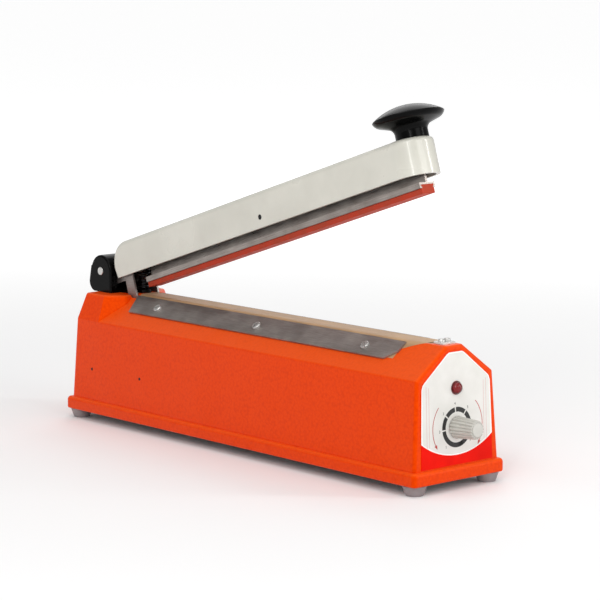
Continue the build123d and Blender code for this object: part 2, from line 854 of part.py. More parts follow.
with BuildPart() as microswitch:
    with BuildSketch(side_view.offset(-tab_y - 1.55)):
        with Locations((x_rear + 25.0, 63.0)):
            Rectangle(15.8, 27.8)
        with Locations((x_rear + 24.0, 55.0), (x_rear + 24.0, 70.0)):
            Circle(1.35, mode=Mode.SUBTRACT)
    extrude(amount=-10.2)
    fillet(microswitch.edges().filter_by(Axis.Y), radius=0.6)
    with BuildSketch(Plane.YZ.offset(x_rear + 32.8)):
        with Locations((0, 62.0)):
            Rectangle(3.0, 2.0)
    extrude(amount=0.9)
    with BuildSketch(Plane.YZ.offset(x_rear + 17.2)):
        with Locations((0, 53.5), (0, 63.0), (0, 72.5)):
            Rectangle(4.8, 0.8)
    extrude(amount=-6.5)
save(microswitch, "microswitch")

lever_x = x_rear + 34.6
lever_z = 53.0
lever_open = 33.0
lever_plane = Plane(
    origin=(lever_x, 0, lever_z),
    x_dir=(sin(radians(lever_open)), 0, cos(radians(lever_open))),
    z_dir=(0, -1, 0),
)
with BuildPart() as switch_pivot:
    with BuildSketch(side_view.offset(-4.2)):
        with Locations((lever_x, lever_z)):
            Circle(0.6)
    extrude(amount=8.4)
    with BuildSketch(side_view.offset(3.2)):
        with Locations((lever_x - 0.4, lever_z)):
            Rectangle(2.6, 3.0)
    extrude(amount=1.0)
    with BuildSketch(side_view.offset(-4.2)):
        with Locations((lever_x - 0.4, lever_z)):
            Rectangle(2.6, 3.0)
    extrude(amount=1.0)
save(switch_pivot, "switch_pivot")

with BuildPart() as switch_lever:
    with BuildSketch(lever_plane):
        with Locations((12.4, 0)):
            Rectangle(23.2, 0.5)
        Circle(1.2)
        Circle(0.65, mode=Mode.SUBTRACT)
    extrude(amount=3.0, both=True)
save(switch_lever, "switch_lever")

with BuildPart() as switch_screws:
    for z in (55.0, 70.0):
        spot = Plane(
            origin=(x_rear + 24.0, tab_y + 1.6 + 10.25, z), x_dir=(1, 0, 0.5), z_dir=(0, 1, 0)
        )
        add(screw(spot, 2.2, 1.5, 1.2, 13.0, 0.6))
save(switch_screws, "switch_screws")

# ---------------------------------------------------------------- hinge
cap_half_width = 19.0
cheek_inner = 12.6
cap_radius = 12.7
cap_floor = block_height + 0.03
with BuildPart() as hinge_bracket:
    with BuildSketch(side_view) as cap_side:
        with BuildLine():
            Line((x_rear + 6.6, cap_floor), (x_rear + 28.0, cap_floor))
            Line((x_rear + 28.0, cap_floor), (hinge_x + cap_radius, hinge_z))
            ThreePointArc(
                (hinge_x + cap_radius, hinge_z),
                (hinge_x, hinge_z + cap_radius),
                (hinge_x - cap_radius * cos(radians(20)), hinge_z + cap_radius * sin(radians(20))),
            )
            Line(
                (hinge_x - cap_radius * cos(radians(20)), hinge_z + cap_radius * sin(radians(20))),
                (x_rear + 0.4, 107.0),
            )
            RadiusArc((x_rear + 0.4, 107.0), (x_rear + 6.6, cap_floor), -7.6)
        make_face()
    extrude(amount=cap_half_width, both=True)
    fillet(hinge_bracket.edges().filter_by(GeomType.CIRCLE).sort_by(Axis.Z)[-2:], radius=1.6)
    # the inside, open towards the arm
    with BuildSketch(side_view):
        with BuildLine():
            Polyline(
                (x_rear + 5.2, cap_floor + 3.0),
                (x_rear + 30.0, cap_floor + 3.0),
                (x_rear + 30.0, 125.0),
                (x_rear + 12.0, 125.0),
                (x_rear + 5.6, 117.5),
                close=True,
            )
        make_face()
    extrude(amount=cheek_inner, both=True, mode=Mode.SUBTRACT)
    # mounting tongue
    with BuildSketch(Plane.XY.offset(cap_floor)):
        with Locations((x_rear + 27.0, 0)):
            Rectangle(28.0, 17.6)
    extrude(amount=3.0)
    with BuildSketch(Plane.XY.offset(cap_floor)):
        with Locations(*[(x, 0) for x in hinge_screw_x]):
            Circle(1.7)
    extrude(amount=8, mode=Mode.SUBTRACT)
    with BuildSketch(side_view.offset(-25)):
        with Locations((hinge_x, hinge_z)):
            Circle(pin_radius + 0.02)
    extrude(amount=50, mode=Mode.SUBTRACT)
save(hinge_bracket, "hinge_bracket")

with BuildPart() as hinge_screws:
    rear_spot = Plane(
        origin=(hinge_screw_x[0], 0, cap_floor + 3.05), x_dir=(1, 0, 0), z_dir=(0, 0, 1)
    )
    add(screw(rear_spot, 2.8, 1.6, 1.5, 10.0, 0.7))
    front_spot = Plane(
        origin=(hinge_screw_x[1], 0, cap_floor + 3.05), x_dir=(0, 1, 0), z_dir=(0, 0, 1)
    )
    add(screw(front_spot, 2.8, 1.6, 1.5, 10.0, 0.7))
save(hinge_screws, "hinge_screws")

with BuildPart() as hinge_pin:
    with BuildSketch(side_view.offset(-cap_half_width - 2.4)):
        with Locations((hinge_x, hinge_z)):
            Circle(pin_radius)
    extrude(amount=2 * cap_half_width + 3.0)
    fillet(hinge_pin.edges().group_by(Axis.Y)[0], radius=0.6)
save(hinge_pin, "hinge_pin")

with BuildPart() as pin_clip:
    with BuildSketch(side_view.offset(-cap_half_width - 1.1)):
        with Locations((hinge_x, hinge_z)):
            Circle(5.2)
            Circle(pin_radius + 0.03, mode=Mode.SUBTRACT)
            with Locations((0, -4.5)):
                Rectangle(2.4, 4.0, mode=Mode.SUBTRACT)
    extrude(amount=1.0)
save(pin_clip, "pin_clip")

# ---------------------------------------------------------------- spring
bracket_web = 4.5
seat_floor = ridge_height + 0.02
spring_low = seat_floor + 1.25
spring_radius = 4.2
wire_radius = 0.7
with BuildPart() as spring_seat:
    with BuildSketch(Plane.XY.offset(seat_floor)):
        with Locations((spring_x, 0)):
            Circle(5.6)
    extrude(amount=2.4)
    with BuildSketch(Plane.XY.offset(seat_floor + 1.2)):
        with Locations((spring_x, 0)):
            Circle(5.1)
            Circle(3.2, mode=Mode.SUBTRACT)
    extrude(amount=2, mode=Mode.SUBTRACT)
    with BuildSketch(Plane.XY.offset(seat_floor)):
        with Locations((spring_x, 0)):
            Circle(2.0)
    extrude(amount=-6.0)
save(spring_seat, "spring_seat")

web_along = (spring_x - hinge_x + bracket_web * sin(flat_arm)) / cos(flat_arm)
spring_high = hinge_z + web_along * sin(flat_arm) + bracket_web * cos(flat_arm) - 2.4
spring_turns = 9
spring_height = spring_high - spring_low - 2 * wire_radius
with BuildPart() as return_spring:
    with BuildLine():
        coil = Helix(
            pitch=spring_height / spring_turns,
            height=spring_height,
            radius=spring_radius,
            center=(spring_x, 0, spring_low + wire_radius),
        )
    with BuildSketch(Plane(origin=coil @ 0, z_dir=coil % 0)):
        Circle(wire_radius)
    sweep(path=coil, is_frenet=True)
save(return_spring, "return_spring")

# ---------------------------------------------------------------- arm
def arm_form(inset, under):
    """The arm's outer shape, or with a positive inset the hollow inside it, from under upwards."""
    lean = (arm_heel - arm_crown) / (arm_top - arm_under)
    heel = arm_heel + lean * (arm_under - under) + inset
    crown = arm_crown + inset * (1 + lean)
    nose = arm_end - arm_width / 2
    half = arm_width / 2 - inset
    with BuildPart() as form:
        with BuildSketch(arm_side) as profile:
            with BuildLine():
                Polyline(
                    (heel, under),
                    (arm_end - inset, under),
                    (arm_end - inset, arm_top - inset),
                    (crown, arm_top - inset),
                    close=True,
                )
            make_face()
            fillet(profile.vertices().sort_by(Axis.X)[0], radius=18 - inset)
        extrude(amount=half, both=True)
        with BuildSketch(arm_plan.offset(under - 5)):
            with Locations((nose / 2, 0)):
                Rectangle(nose, 2 * half)
            with Locations((nose, 0)):
                Circle(half)
        extrude(amount=50, mode=Mode.INTERSECT)
        if not inset:
            rim = []
            for edge in form.edges():
                spot = arm_plan.to_local_coords(edge.center())
                on_side = abs(spot.Y) > half - 0.1 and spot.Z > under + 1
                seam = nose - 1 < spot.X < nose + 1 and spot.Z < arm_top - 1
                front_arc = spot.X > nose + 1 and spot.Z > arm_top - 0.1
                if on_side and not seam or front_arc:
                    rim.append(edge)
            fillet(rim, radius=3.5)
    return form.part


arm_outside = arm_form(0.0, arm_under)
arm_hollow = arm_form(arm_wall, arm_under - 3)
bracket_sheet = 1.5
bracket_screw_along = [19.5, 33.0]
handle_boss_low = 9.0
with BuildPart() as arm_casting:
    add(arm_outside)
    add(arm_hollow, mode=Mode.SUBTRACT)
    with BuildSketch(arm_plan.offset(handle_boss_low)):
        with Locations((handle_along, 0)):
            Circle(7.0)
    extrude(amount=arm_top - arm_wall - handle_boss_low + 0.5)
    with BuildSketch(arm_plan.offset(bracket_web + bracket_sheet + 0.02)):
        with Locations(*[(along, 0) for along in bracket_screw_along]):
            Circle(3.8)
    extrude(amount=8.3)
    # the heel is open for the bracket
    with BuildSketch(arm_side):
        with BuildLine():
            Polyline(
                (5, arm_under - 5),
                (24, arm_under - 5),
                (24, bracket_web + bracket_sheet),
                (5, bracket_web + bracket_sheet),
                close=True,
            )
        make_face()
    extrude(amount=12.2, both=True, mode=Mode.SUBTRACT)
    with BuildSketch(arm_plan.offset(bracket_web + bracket_sheet)):
        with Locations(*[(along, 0) for along in bracket_screw_along]):
            Circle(1.55)
    extrude(amount=6.0, mode=Mode.SUBTRACT)
    with BuildSketch(arm_plan.offset(handle_boss_low - 1)):
        with Locations((handle_along, 0)):
            Circle(3.1)
    extrude(amount=12.0, mode=Mode.SUBTRACT)
    with BuildSketch(arm_side.offset(-20)):
        with Locations((rocker_along, rocker_up)):
            Circle(rocker_radius + 0.02)
    extrude(amount=40, mode=Mode.SUBTRACT)
save(arm_casting, "arm_casting")

leg_start = 20.0
leg_end = 30.0
leg_low = -46.5
plate_low = -12.5
striker_along = 25.0
striker_up = -43.0
with BuildPart() as arm_bracket:
    with BuildSketch(arm_side) as bracket_side:
        Circle(8.0)
        with BuildLine():
            Polyline(
                (0, bracket_web + bracket_sheet),
                (0, 0),
                (4, plate_low),
                (leg_start, plate_low),
                (leg_start, leg_low),
                (leg_end, leg_low),
                (leg_end, -8.0),
                (39.0, -8.0),
                (39.0, bracket_web + bracket_sheet),
                close=True,
            )
        make_face()
        fillet(bracket_side.vertices().group_by(Axis.Y)[0], radius=3.5)
    extrude(amount=slot_across + bracket_sheet / 2, both=True)
    with BuildSketch(arm_side):
        with Locations((20, bracket_web - 50)):
            Rectangle(80, 100)
    extrude(amount=slot_across - bracket_sheet / 2, both=True, mode=Mode.SUBTRACT)
    with BuildSketch(arm_side):
        with Locations((-2, 20)):
            Rectangle(16, 40)
    extrude(amount=slot_across - bracket_sheet / 2, both=True, mode=Mode.SUBTRACT)
    with BuildSketch(arm_side.offset(-20)):
        Circle(pin_radius + running_gap)
        with Locations((striker_along, striker_up)):
            Circle(2.02)
    extrude(amount=40, mode=Mode.SUBTRACT)
    with BuildSketch(arm_plan):
        with Locations(*[(along, 0) for along in bracket_screw_along]):
            Circle(1.8)
    extrude(amount=10, mode=Mode.SUBTRACT)
save(arm_bracket, "arm_bracket")

with BuildPart() as arm_bracket_screws:
    for along in bracket_screw_along:
        x, z = arm_point(along, bracket_web - 0.03)
        spot = Plane(
            origin=(x, 0, z),
            x_dir=(cos(flat_arm), 0, sin(flat_arm)),
            z_dir=(sin(flat_arm), 0, -cos(flat_arm)),
        )
        add(screw(spot, 2.8, 1.6, 1.5, 6.5, 0.7))
save(arm_bracket_screws, "arm_bracket_screws")

with BuildPart() as striker_pin:
    with BuildSketch(arm_side.offset(-slot_across - 1.3)):
        with Locations((striker_along, striker_up)):
            Circle(2.0)
    extrude(amount=2 * slot_across + 2.6)
save(striker_pin, "striker_pin")

with BuildPart() as rocker_pin:
    with BuildSketch(arm_side.offset(-arm_width / 2 + 0.3)):
        with Locations((rocker_along, rocker_up)):
            Circle(rocker_radius)
    extrude(amount=arm_width - 0.6)
save(rocker_pin, "rocker_pin")

web_half = 1.0
with BuildPart() as rocker_spacers:
    for side in (-1, 1):
        with BuildSketch(arm_side.offset(side * (web_half + 0.2))):
            with Locations((rocker_along, rocker_up)):
                Circle(4.0)
                Circle(rocker_radius + 0.03, mode=Mode.SUBTRACT)
        extrude(amount=side * (arm_width / 2 - arm_wall - web_half - 0.25))
save(rocker_spacers, "rocker_spacers")

# ---------------------------------------------------------------- pressure bar
bar_x, bar_z = arm_point(bar_start, 0)
bar_section = Plane(
    origin=(bar_x, 0, bar_z), x_dir=(0, 1, 0), z_dir=(cos(flat_arm), 0, sin(flat_arm))
)
lip_half = 5.2
lip_inside = channel_lip + 1.0
channel_wall = 1.2
web_top = 2.5
with BuildPart() as pressure_bar:
    with BuildSketch(bar_section):
        with Locations((0, (channel_top + channel_lip) / 2)):
            Rectangle(2 * channel_half_width, channel_top - channel_lip)
        with Locations((0, (channel_top - 1.4 + lip_inside) / 2)):
            Rectangle(
                2 * (channel_half_width - channel_wall),
                channel_top - 1.4 - lip_inside,
                mode=Mode.SUBTRACT,
            )
        with Locations((0, channel_lip)):
            Rectangle(2 * lip_half, 4, mode=Mode.SUBTRACT)
        with Locations((0, (channel_top + web_top) / 2)):
            Rectangle(2 * web_half, web_top - channel_top)
    extrude(amount=bar_end - bar_start)
    with BuildSketch(arm_side.offset(-20)):
        with Locations((rocker_along, rocker_up)):
            Circle(rocker_radius + running_gap)
    extrude(amount=40, mode=Mode.SUBTRACT)
save(pressure_bar, "pressure_bar")

rubber_half = 5.85
with BuildPart() as silicone_strip:
    with BuildSketch(bar_section) as rubber:
        head_top = channel_top - 1.5
        head_low = lip_inside + 0.1
        with Locations((0, (head_top + head_low) / 2)):
            Rectangle(2 * (channel_half_width - channel_wall - 0.1), head_top - head_low)
        with Locations((0, (head_low + channel_lip) / 2)):
            Rectangle(2 * (lip_half - 0.1), head_low - channel_lip + 0.4)
        with Locations((0, (rubber_face + channel_lip - 0.1) / 2)):
            Rectangle(2 * rubber_half, channel_lip - 0.1 - rubber_face)
    extrude(amount=bar_end - bar_start)
save(silicone_strip, "silicone_strip")

# ---------------------------------------------------------------- handle
brim_radius = 25.5
brim_up = 32.5
neck_radius = 11.7
lip_radius = brim_radius - 0.5
lip_up = brim_up + 0.7
dome_rise = 7.9
dome_radius = (lip_radius**2 + dome_rise**2) / (2 * dome_rise)
dome_middle = lip_up + dome_rise - dome_radius + (dome_radius**2 - (lip_radius / 2) ** 2) ** 0.5
knob_origin = Plane(
    origin=arm_side.from_local_coords((handle_along, 0, 0)), x_dir=arm_side.x_dir, z_dir=(0, -1, 0)
)
with BuildPart() as handle_knob:
    with BuildSketch(knob_origin):
        with BuildLine():
            base_line = Line((0, arm_top + 0.05), (neck_radius, arm_top + 0.05))
            neck = Line(base_line @ 1, (neck_radius, 21.5))
            flare = TangentArc(neck @ 1, (15.2, 26.6), tangent=(0, 1))
            under = Line(flare @ 1, (21.8, 28.9))
            rim = TangentArc(under @ 1, (brim_radius, brim_up), tangent=under % 1)
            lip = Line(rim @ 1, (lip_radius, lip_up))
            dome = ThreePointArc(lip @ 1, (lip_radius / 2, dome_middle), (0, lip_up + dome_rise))
            Line(dome @ 1, (0, arm_top + 0.05))
        make_face()
    revolve(axis=Axis(knob_origin.origin, arm_plan.z_dir))
    with BuildSketch(arm_plan.offset(arm_top)):
        with Locations((handle_along, 0)):
            Circle(3.02)
    extrude(amount=14, mode=Mode.SUBTRACT)
save(handle_knob, "handle_knob")

with BuildPart() as handle_stud:
    with BuildSketch(arm_plan.offset(3.4)):
        with Locations((handle_along, 0)):
            Circle(3.0)
    extrude(amount=27)
save(handle_stud, "handle_stud")

with BuildPart() as handle_nut:
    with BuildSketch(arm_plan.offset(handle_boss_low - 0.02)):
        with Locations((handle_along, 0)):
            RegularPolygon(5.7, 6)
            Circle(3.03, mode=Mode.SUBTRACT)
    extrude(amount=-4.8)
save(handle_nut, "handle_nut")
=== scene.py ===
"""Looks for a 300 mm table-top impulse heat sealer.

Finishes, bed cloth, return spring, printed panel, its fittings and the studio.
"""

import logging
import math
from dataclasses import dataclass
from enum import Enum
from typing import Sequence

import bpy
from mathutils import Matrix, Vector

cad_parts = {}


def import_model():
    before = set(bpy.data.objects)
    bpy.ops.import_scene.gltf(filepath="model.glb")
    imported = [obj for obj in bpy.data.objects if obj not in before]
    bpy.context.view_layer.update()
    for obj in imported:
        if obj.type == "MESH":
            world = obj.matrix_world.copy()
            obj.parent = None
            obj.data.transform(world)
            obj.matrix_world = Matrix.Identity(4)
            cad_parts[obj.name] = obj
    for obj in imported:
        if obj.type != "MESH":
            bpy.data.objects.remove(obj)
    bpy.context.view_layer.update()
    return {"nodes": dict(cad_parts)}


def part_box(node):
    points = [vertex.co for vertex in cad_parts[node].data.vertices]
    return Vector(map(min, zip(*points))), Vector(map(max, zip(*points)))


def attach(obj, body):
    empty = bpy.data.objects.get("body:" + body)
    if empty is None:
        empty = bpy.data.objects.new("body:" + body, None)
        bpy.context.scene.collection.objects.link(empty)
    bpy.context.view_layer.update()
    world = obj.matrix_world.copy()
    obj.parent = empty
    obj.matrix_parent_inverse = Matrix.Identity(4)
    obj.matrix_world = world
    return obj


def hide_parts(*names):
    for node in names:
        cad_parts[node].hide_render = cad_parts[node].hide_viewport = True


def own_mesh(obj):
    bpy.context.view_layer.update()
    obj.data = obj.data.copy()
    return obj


log = logging.getLogger("impulse_sealer")

MM = 0.001
PER_MM = 1000.0
# One band of Blender's wave texture at scale 1 is about 1/3.1 of a unit.
BANDS_PER_UNIT = 3.1
# The part of a flute's wave that is left as rib.
RIB_SHARE = 0.35


class Body(Enum):
    """The bodies of the machine that new pieces ride on."""

    BASE = "base"
    DIAL = "timer_dial"


def linear(hex_colour: str) -> tuple[float, float, float, float]:
    """Turns an sRGB hex colour into linear RGBA.

    Args:
        hex_colour: Six hex digits.

    Returns:
        The linear colour with an alpha of one.
    """
    parts = []
    for start in (0, 2, 4):
        value = int(hex_colour[start : start + 2], 16) / 255
        parts.append(value / 12.92 if value <= 0.04045 else ((value + 0.055) / 1.055) ** 2.4)
    return (parts[0], parts[1], parts[2], 1.0)


def add_node(
    tree: bpy.types.NodeTree,
    kind: str,
    values: dict | None = None,
    links: dict | None = None,
    **settings: object,
) -> bpy.types.Node:
    """Adds one node with its settings, its unlinked values and its links.

    Args:
        tree: The material's node tree.
        kind: The node's type name.
        values: Input name or number to its value.
        links: Input name or number to the output socket that feeds it.
        settings: Properties of the node itself.

    Returns:
        The new node.
    """
    made = tree.nodes.new(kind)
    for name, value in settings.items():
        setattr(made, name, value)
    for socket, value in (values or {}).items():
        made.inputs[socket].default_value = value
    for socket, source in (links or {}).items():
        tree.links.new(source, made.inputs[socket])
    return made


def ramp(
    tree: bpy.types.NodeTree, factor: bpy.types.NodeSocket, stops: Sequence[tuple[float, str]]
) -> bpy.types.NodeSocket:
    """Colours a factor by stops.

    Args:
        tree: The material's node tree.
        factor: The value that chooses the colour.
        stops: Position and hex colour of each stop, in order.

    Returns:
        The colour socket.
    """
    made = add_node(tree, "ShaderNodeValToRGB", links={"Fac": factor})
    elements = made.color_ramp.elements
    while len(elements) < len(stops):
        elements.new(0.5)
    for element, (position, colour) in zip(elements, stops):
        element.position = position
        element.color = linear(colour)
    return made.outputs["Color"]


def wave_scale(pitch: float) -> float:
    """The wave texture's scale for lines a real distance apart.

    Args:
        pitch: The distance between lines, in millimetres.

    Returns:
        The scale.
    """
    return PER_MM / pitch / BANDS_PER_UNIT


def reckon(
    tree: bpy.types.NodeTree, operation: str, *terms: bpy.types.NodeSocket | float
) -> bpy.types.NodeSocket:
    """Does one sum on sockets and numbers.

    Args:
        tree: The material's node tree.
        operation: The sum's name.
        terms: What goes in, in order.

    Returns:
        The result.
    """
    values = {i: term for i, term in enumerate(terms) if isinstance(term, float)}
    links = {i: term for i, term in enumerate(terms) if not isinstance(term, float)}
    made = add_node(tree, "ShaderNodeMath", values=values, links=links, operation=operation)
    return made.outputs["Value"]


def share_of(
    tree: bpy.types.NodeTree, vector: bpy.types.NodeSocket, axis: str
) -> bpy.types.NodeSocket:
    """Takes one axis of a vector.

    Args:
        tree: The material's node tree.
        vector: The vector.
        axis: X, Y or Z.

    Returns:
        That axis's value.
    """
    return add_node(tree, "ShaderNodeSeparateXYZ", links={0: vector}).outputs[axis]


def facing(tree: bpy.types.NodeTree) -> bpy.types.NodeSocket:
    """How far the surface faces up, from minus one to one.

    Args:
        tree: The material's node tree.

    Returns:
        The upward share of the surface's direction.
    """
    direction = add_node(tree, "ShaderNodeNewGeometry").outputs["Normal"]
    return share_of(tree, direction, "Z")


def over(
    tree: bpy.types.NodeTree,
    factor: bpy.types.NodeSocket,
    under: bpy.types.NodeSocket,
    hex_colour: str,
) -> bpy.types.NodeSocket:
    """Lays one flat colour over another by a factor.

    Args:
        tree: The material's node tree.
        factor: How much of the flat colour shows.
        under: The colour underneath.
        hex_colour: The flat colour.

    Returns:
        The mixed colour.
    """
    made = add_node(
        tree,
        "ShaderNodeMix",
        values={7: linear(hex_colour)},
        links={0: factor, 6: under},
        data_type="RGBA",
    )
    return made.outputs[2]


@dataclass(frozen=True)
class Finish:
    """A surface finish. Subclasses draw its pattern; sizes are in millimetres."""

    name: str
    colour: str
    roughness: float
    metallic: float = 0.0
    coat: float = 0.0
    coat_roughness: float = 0.1
    sheen: float = 0.0
    ior: float = 1.5
    specular: float = 0.5
    specular_tint: str = "FFFFFF"
    soiling: float = 14.0

    def material(self) -> bpy.types.Material:
        """Makes the finish's material.

        Returns:
            The material, the same one each time it is asked for.
        """
        known = bpy.data.materials.get(self.name)
        if known:
            return known
        made = bpy.data.materials.new(self.name)
        made.use_nodes = True
        tree = made.node_tree
        shader = tree.nodes["Principled BSDF"]
        shader.inputs["Base Color"].default_value = linear(self.colour)
        shader.inputs["Roughness"].default_value = self.roughness
        shader.inputs["Metallic"].default_value = self.metallic
        shader.inputs["Coat Weight"].default_value = self.coat
        shader.inputs["Coat Roughness"].default_value = self.coat_roughness
        shader.inputs["Sheen Weight"].default_value = self.sheen
        shader.inputs["Specular IOR Level"].default_value = self.specular
        shader.inputs["Specular Tint"].default_value = linear(self.specular_tint)
        if not self.metallic:
            shader.inputs["IOR"].default_value = self.ior
        place = add_node(tree, "ShaderNodeTexCoord").outputs["Object"]
        self.pattern(tree, shader, place)
        return made

    def pattern(
        self, tree: bpy.types.NodeTree, shader: bpy.types.Node, place: bpy.types.NodeSocket
    ) -> None:
        """Draws the finish's pattern. A plain finish has only faint soiling.

        Args:
            tree: The material's node tree.
            shader: The surface shader.
            place: The point being shaded.
        """
        soil = self.noise(tree, place, self.soiling, 4.0)
        self.vary_roughness(tree, shader, soil, 0.08)

    def noise(
        self,
        tree: bpy.types.NodeTree,
        place: bpy.types.NodeSocket,
        size: float,
        detail: float = 2.0,
    ) -> bpy.types.NodeSocket:
        """Adds cloudy noise.

        Args:
            tree: The material's node tree.
            place: The point being shaded.
            size: The size of one cloud, in millimetres.
            detail: How many finer layers it has.

        Returns:
            The noise's value.
        """
        made = add_node(
            tree,
            "ShaderNodeTexNoise",
            values={"Scale": PER_MM / size, "Detail": detail},
            links={"Vector": place},
        )
        return made.outputs["Fac"]

    def stretched(
        self,
        tree: bpy.types.NodeTree,
        place: bpy.types.NodeSocket,
        stretch: tuple[float, float, float],
        tilt: float = 0.0,
    ) -> bpy.types.NodeSocket:
        """Stretches or turns the place a pattern is read at.

        Args:
            tree: The material's node tree.
            place: The point being shaded.
            stretch: The factor along each axis.
            tilt: The turn about Y, in degrees.

        Returns:
            The changed place.
        """
        turned = add_node(
            tree,
            "ShaderNodeMapping",
            values={"Rotation": (0.0, math.radians(tilt), 0.0)},
            links={"Vector": place},
        ).outputs["Vector"]
        made = add_node(
            tree, "ShaderNodeMapping", values={"Scale": stretch}, links={"Vector": turned}
        )
        return made.outputs["Vector"]

    def relief(
        self,
        tree: bpy.types.NodeTree,
        shader: bpy.types.Node,
        height: bpy.types.NodeSocket,
        depth: float,
        strength: float = 1.0,
    ) -> None:
        """Raises the surface by a height.

        Args:
            tree: The material's node tree.
            shader: The surface shader.
            height: The height, from zero to one.
            depth: The full height, in millimetres.
            strength: How much of it shows.
        """
        bump = add_node(
            tree,
            "ShaderNodeBump",
            values={"Distance": depth * MM, "Strength": strength},
            links={"Height": height},
        )
        tree.links.new(bump.outputs["Normal"], shader.inputs["Normal"])

    def vary_roughness(
        self,
        tree: bpy.types.NodeTree,
        shader: bpy.types.Node,
        factor: bpy.types.NodeSocket,
        amount: float,
    ) -> None:
        """Varies the roughness about the finish's own.

        Args:
            tree: The material's node tree.
            shader: The surface shader.
            factor: What it varies with.
            amount: How far it goes each way.
        """
        made = add_node(
            tree,
            "ShaderNodeMapRange",
            values={
                "From Min": 0.3,
                "From Max": 0.7,
                "To Min": self.roughness - amount,
                "To Max": self.roughness + amount,
            },
            links={"Value": factor},
        )
        tree.links.new(made.outputs["Result"], shader.inputs["Roughness"])


@dataclass(frozen=True)
class HammeredEnamel(Finish):
    """Hammertone stoving enamel on cast metal: shallow dimples that break up reflections."""

    deep: str = "DE3800"
    light: str = "EC4600"
    # Painted light: faces that point up are mixed towards this lighter orange, as if lit from
    # above.
    top_light: str = "FA6E20"
    top_light_share: float = 0.3
    lit_from: float = 0.35
    lit_to: float = 0.8
    dimple: float = 1.9
    dimple_depth: float = 0.05
    dimple_share: float = 0.1
    drifting: float = 22.0

    def pattern(self, tree, shader, place) -> None:
        """Draws dimples, darker enamel pooled between them and painted light on faces that point
        up.
        """
        drift = self.noise(tree, place, self.drifting, 3.0)
        dimples = add_node(
            tree,
            "ShaderNodeTexVoronoi",
            values={"Scale": PER_MM / self.dimple, "Smoothness": 0.8, "Randomness": 1.0},
            links={"Vector": place},
            feature="SMOOTH_F1",
        ).outputs["Distance"]
        mixed = reckon(tree, "MULTIPLY_ADD", drift, self.dimple_share, dimples)
        fresh = ramp(tree, mixed, ((0.1, self.light), (0.5, self.colour), (0.95, self.deep)))
        # Painted light: the more a face points up, the more of the lighter orange it takes.
        light_amount = add_node(
            tree,
            "ShaderNodeMapRange",
            values={
                "From Min": self.lit_from,
                "From Max": self.lit_to,
                "To Max": self.top_light_share,
            },
            links={"Value": facing(tree)},
        ).outputs["Result"]
        colour = over(tree, light_amount, fresh, self.top_light)
        tree.links.new(colour, shader.inputs["Base Color"])
        self.vary_roughness(tree, shader, drift, 0.05)
        self.relief(tree, shader, dimples, self.dimple_depth, 0.9)


@dataclass(frozen=True)
class SmoothEnamel(Finish):
    """Sprayed stoving enamel with a faint orange peel and a little handling soil.

    Inside the channel, faces that point down take a dark brown painted shade, except near the
    nose.
    """

    shade: str = "CAC8BD"
    # Painted shade: the dark brown of the channel's inside, which gets little light.
    inside_shade: str = "382E27"
    shade_half: float = 14.1
    shade_end: float = 143.0
    shade_below: float = 0.6
    peel: float = 1.8
    peel_depth: float = 0.012
    stain: float = 30.0

    def pattern(self, tree, shader, place) -> None:
        """Draws the orange peel, soft soiling and the painted shade inside the channel."""
        soil = self.noise(tree, place, self.stain, 5.0)
        enamel = ramp(tree, soil, ((0.3, self.colour), (0.72, self.shade)))
        # Painted shade: downward faces inside the channel and behind the nose take the dark brown.
        across = reckon(tree, "ABSOLUTE", share_of(tree, place, "Y"))
        inside = reckon(tree, "LESS_THAN", across, self.shade_half * MM)
        downward = reckon(tree, "LESS_THAN", facing(tree), self.shade_below)
        behind_nose = reckon(
            tree, "LESS_THAN", share_of(tree, place, "X"), self.shade_end * MM
        )
        in_shade = reckon(tree, "MULTIPLY", reckon(tree, "MULTIPLY", inside, downward), behind_nose)
        mixed = over(tree, in_shade, enamel, self.inside_shade)
        tree.links.new(mixed, shader.inputs["Base Color"])
        self.vary_roughness(tree, shader, soil, 0.05)
        skin = self.noise(tree, place, self.peel, 1.0)
        self.relief(tree, shader, skin, self.peel_depth, 0.5)


@dataclass(frozen=True)
class DrawnMetal(Finish):
    """Rolled, drawn or brushed metal: fine lines along one direction and dull patches."""

    shade: str = "8C8884"
    grain: tuple[float, float, float] = (0.03, 1.0, 1.0)
    tilt: float = 0.0
    line: float = 0.35
    line_depth: float = 0.01
    patch: float = 18.0

    def pattern(self, tree, shader, place) -> None:
        """Draws the lines of rolling and patches of handling."""
        along = self.stretched(tree, place, self.grain, self.tilt)
        lines = self.noise(tree, along, self.line, 3.0)
        patches = self.noise(tree, place, self.patch, 4.0)
        both = reckon(tree, "MULTIPLY", lines, patches)
        colour = ramp(tree, both, ((0.12, self.shade), (0.42, self.colour)))
        tree.links.new(colour, shader.inputs["Base Color"])
        self.vary_roughness(tree, shader, lines, 0.1)
        self.relief(tree, shader, lines, self.line_depth, 0.4)


@dataclass(frozen=True)
class Moulding(Finish):
    """Moulded plastic: polished where glossy, spark-eroded grain where matt."""

    shade: str = "101010"
    grit: float = 0.5
    grit_depth: float = 0.01
    flow: float = 16.0

    def pattern(self, tree, shader, place) -> None:
        """Draws the mould's grain and slight flow marks."""
        flow = self.noise(tree, place, self.flow, 3.0)
        colour = ramp(tree, flow, ((0.35, self.colour), (0.75, self.shade)))
        tree.links.new(colour, shader.inputs["Base Color"])
        self.vary_roughness(tree, shader, flow, 0.04)
        self.relief(tree, shader, self.noise(tree, place, self.grit, 1.0), self.grit_depth, 0.6)


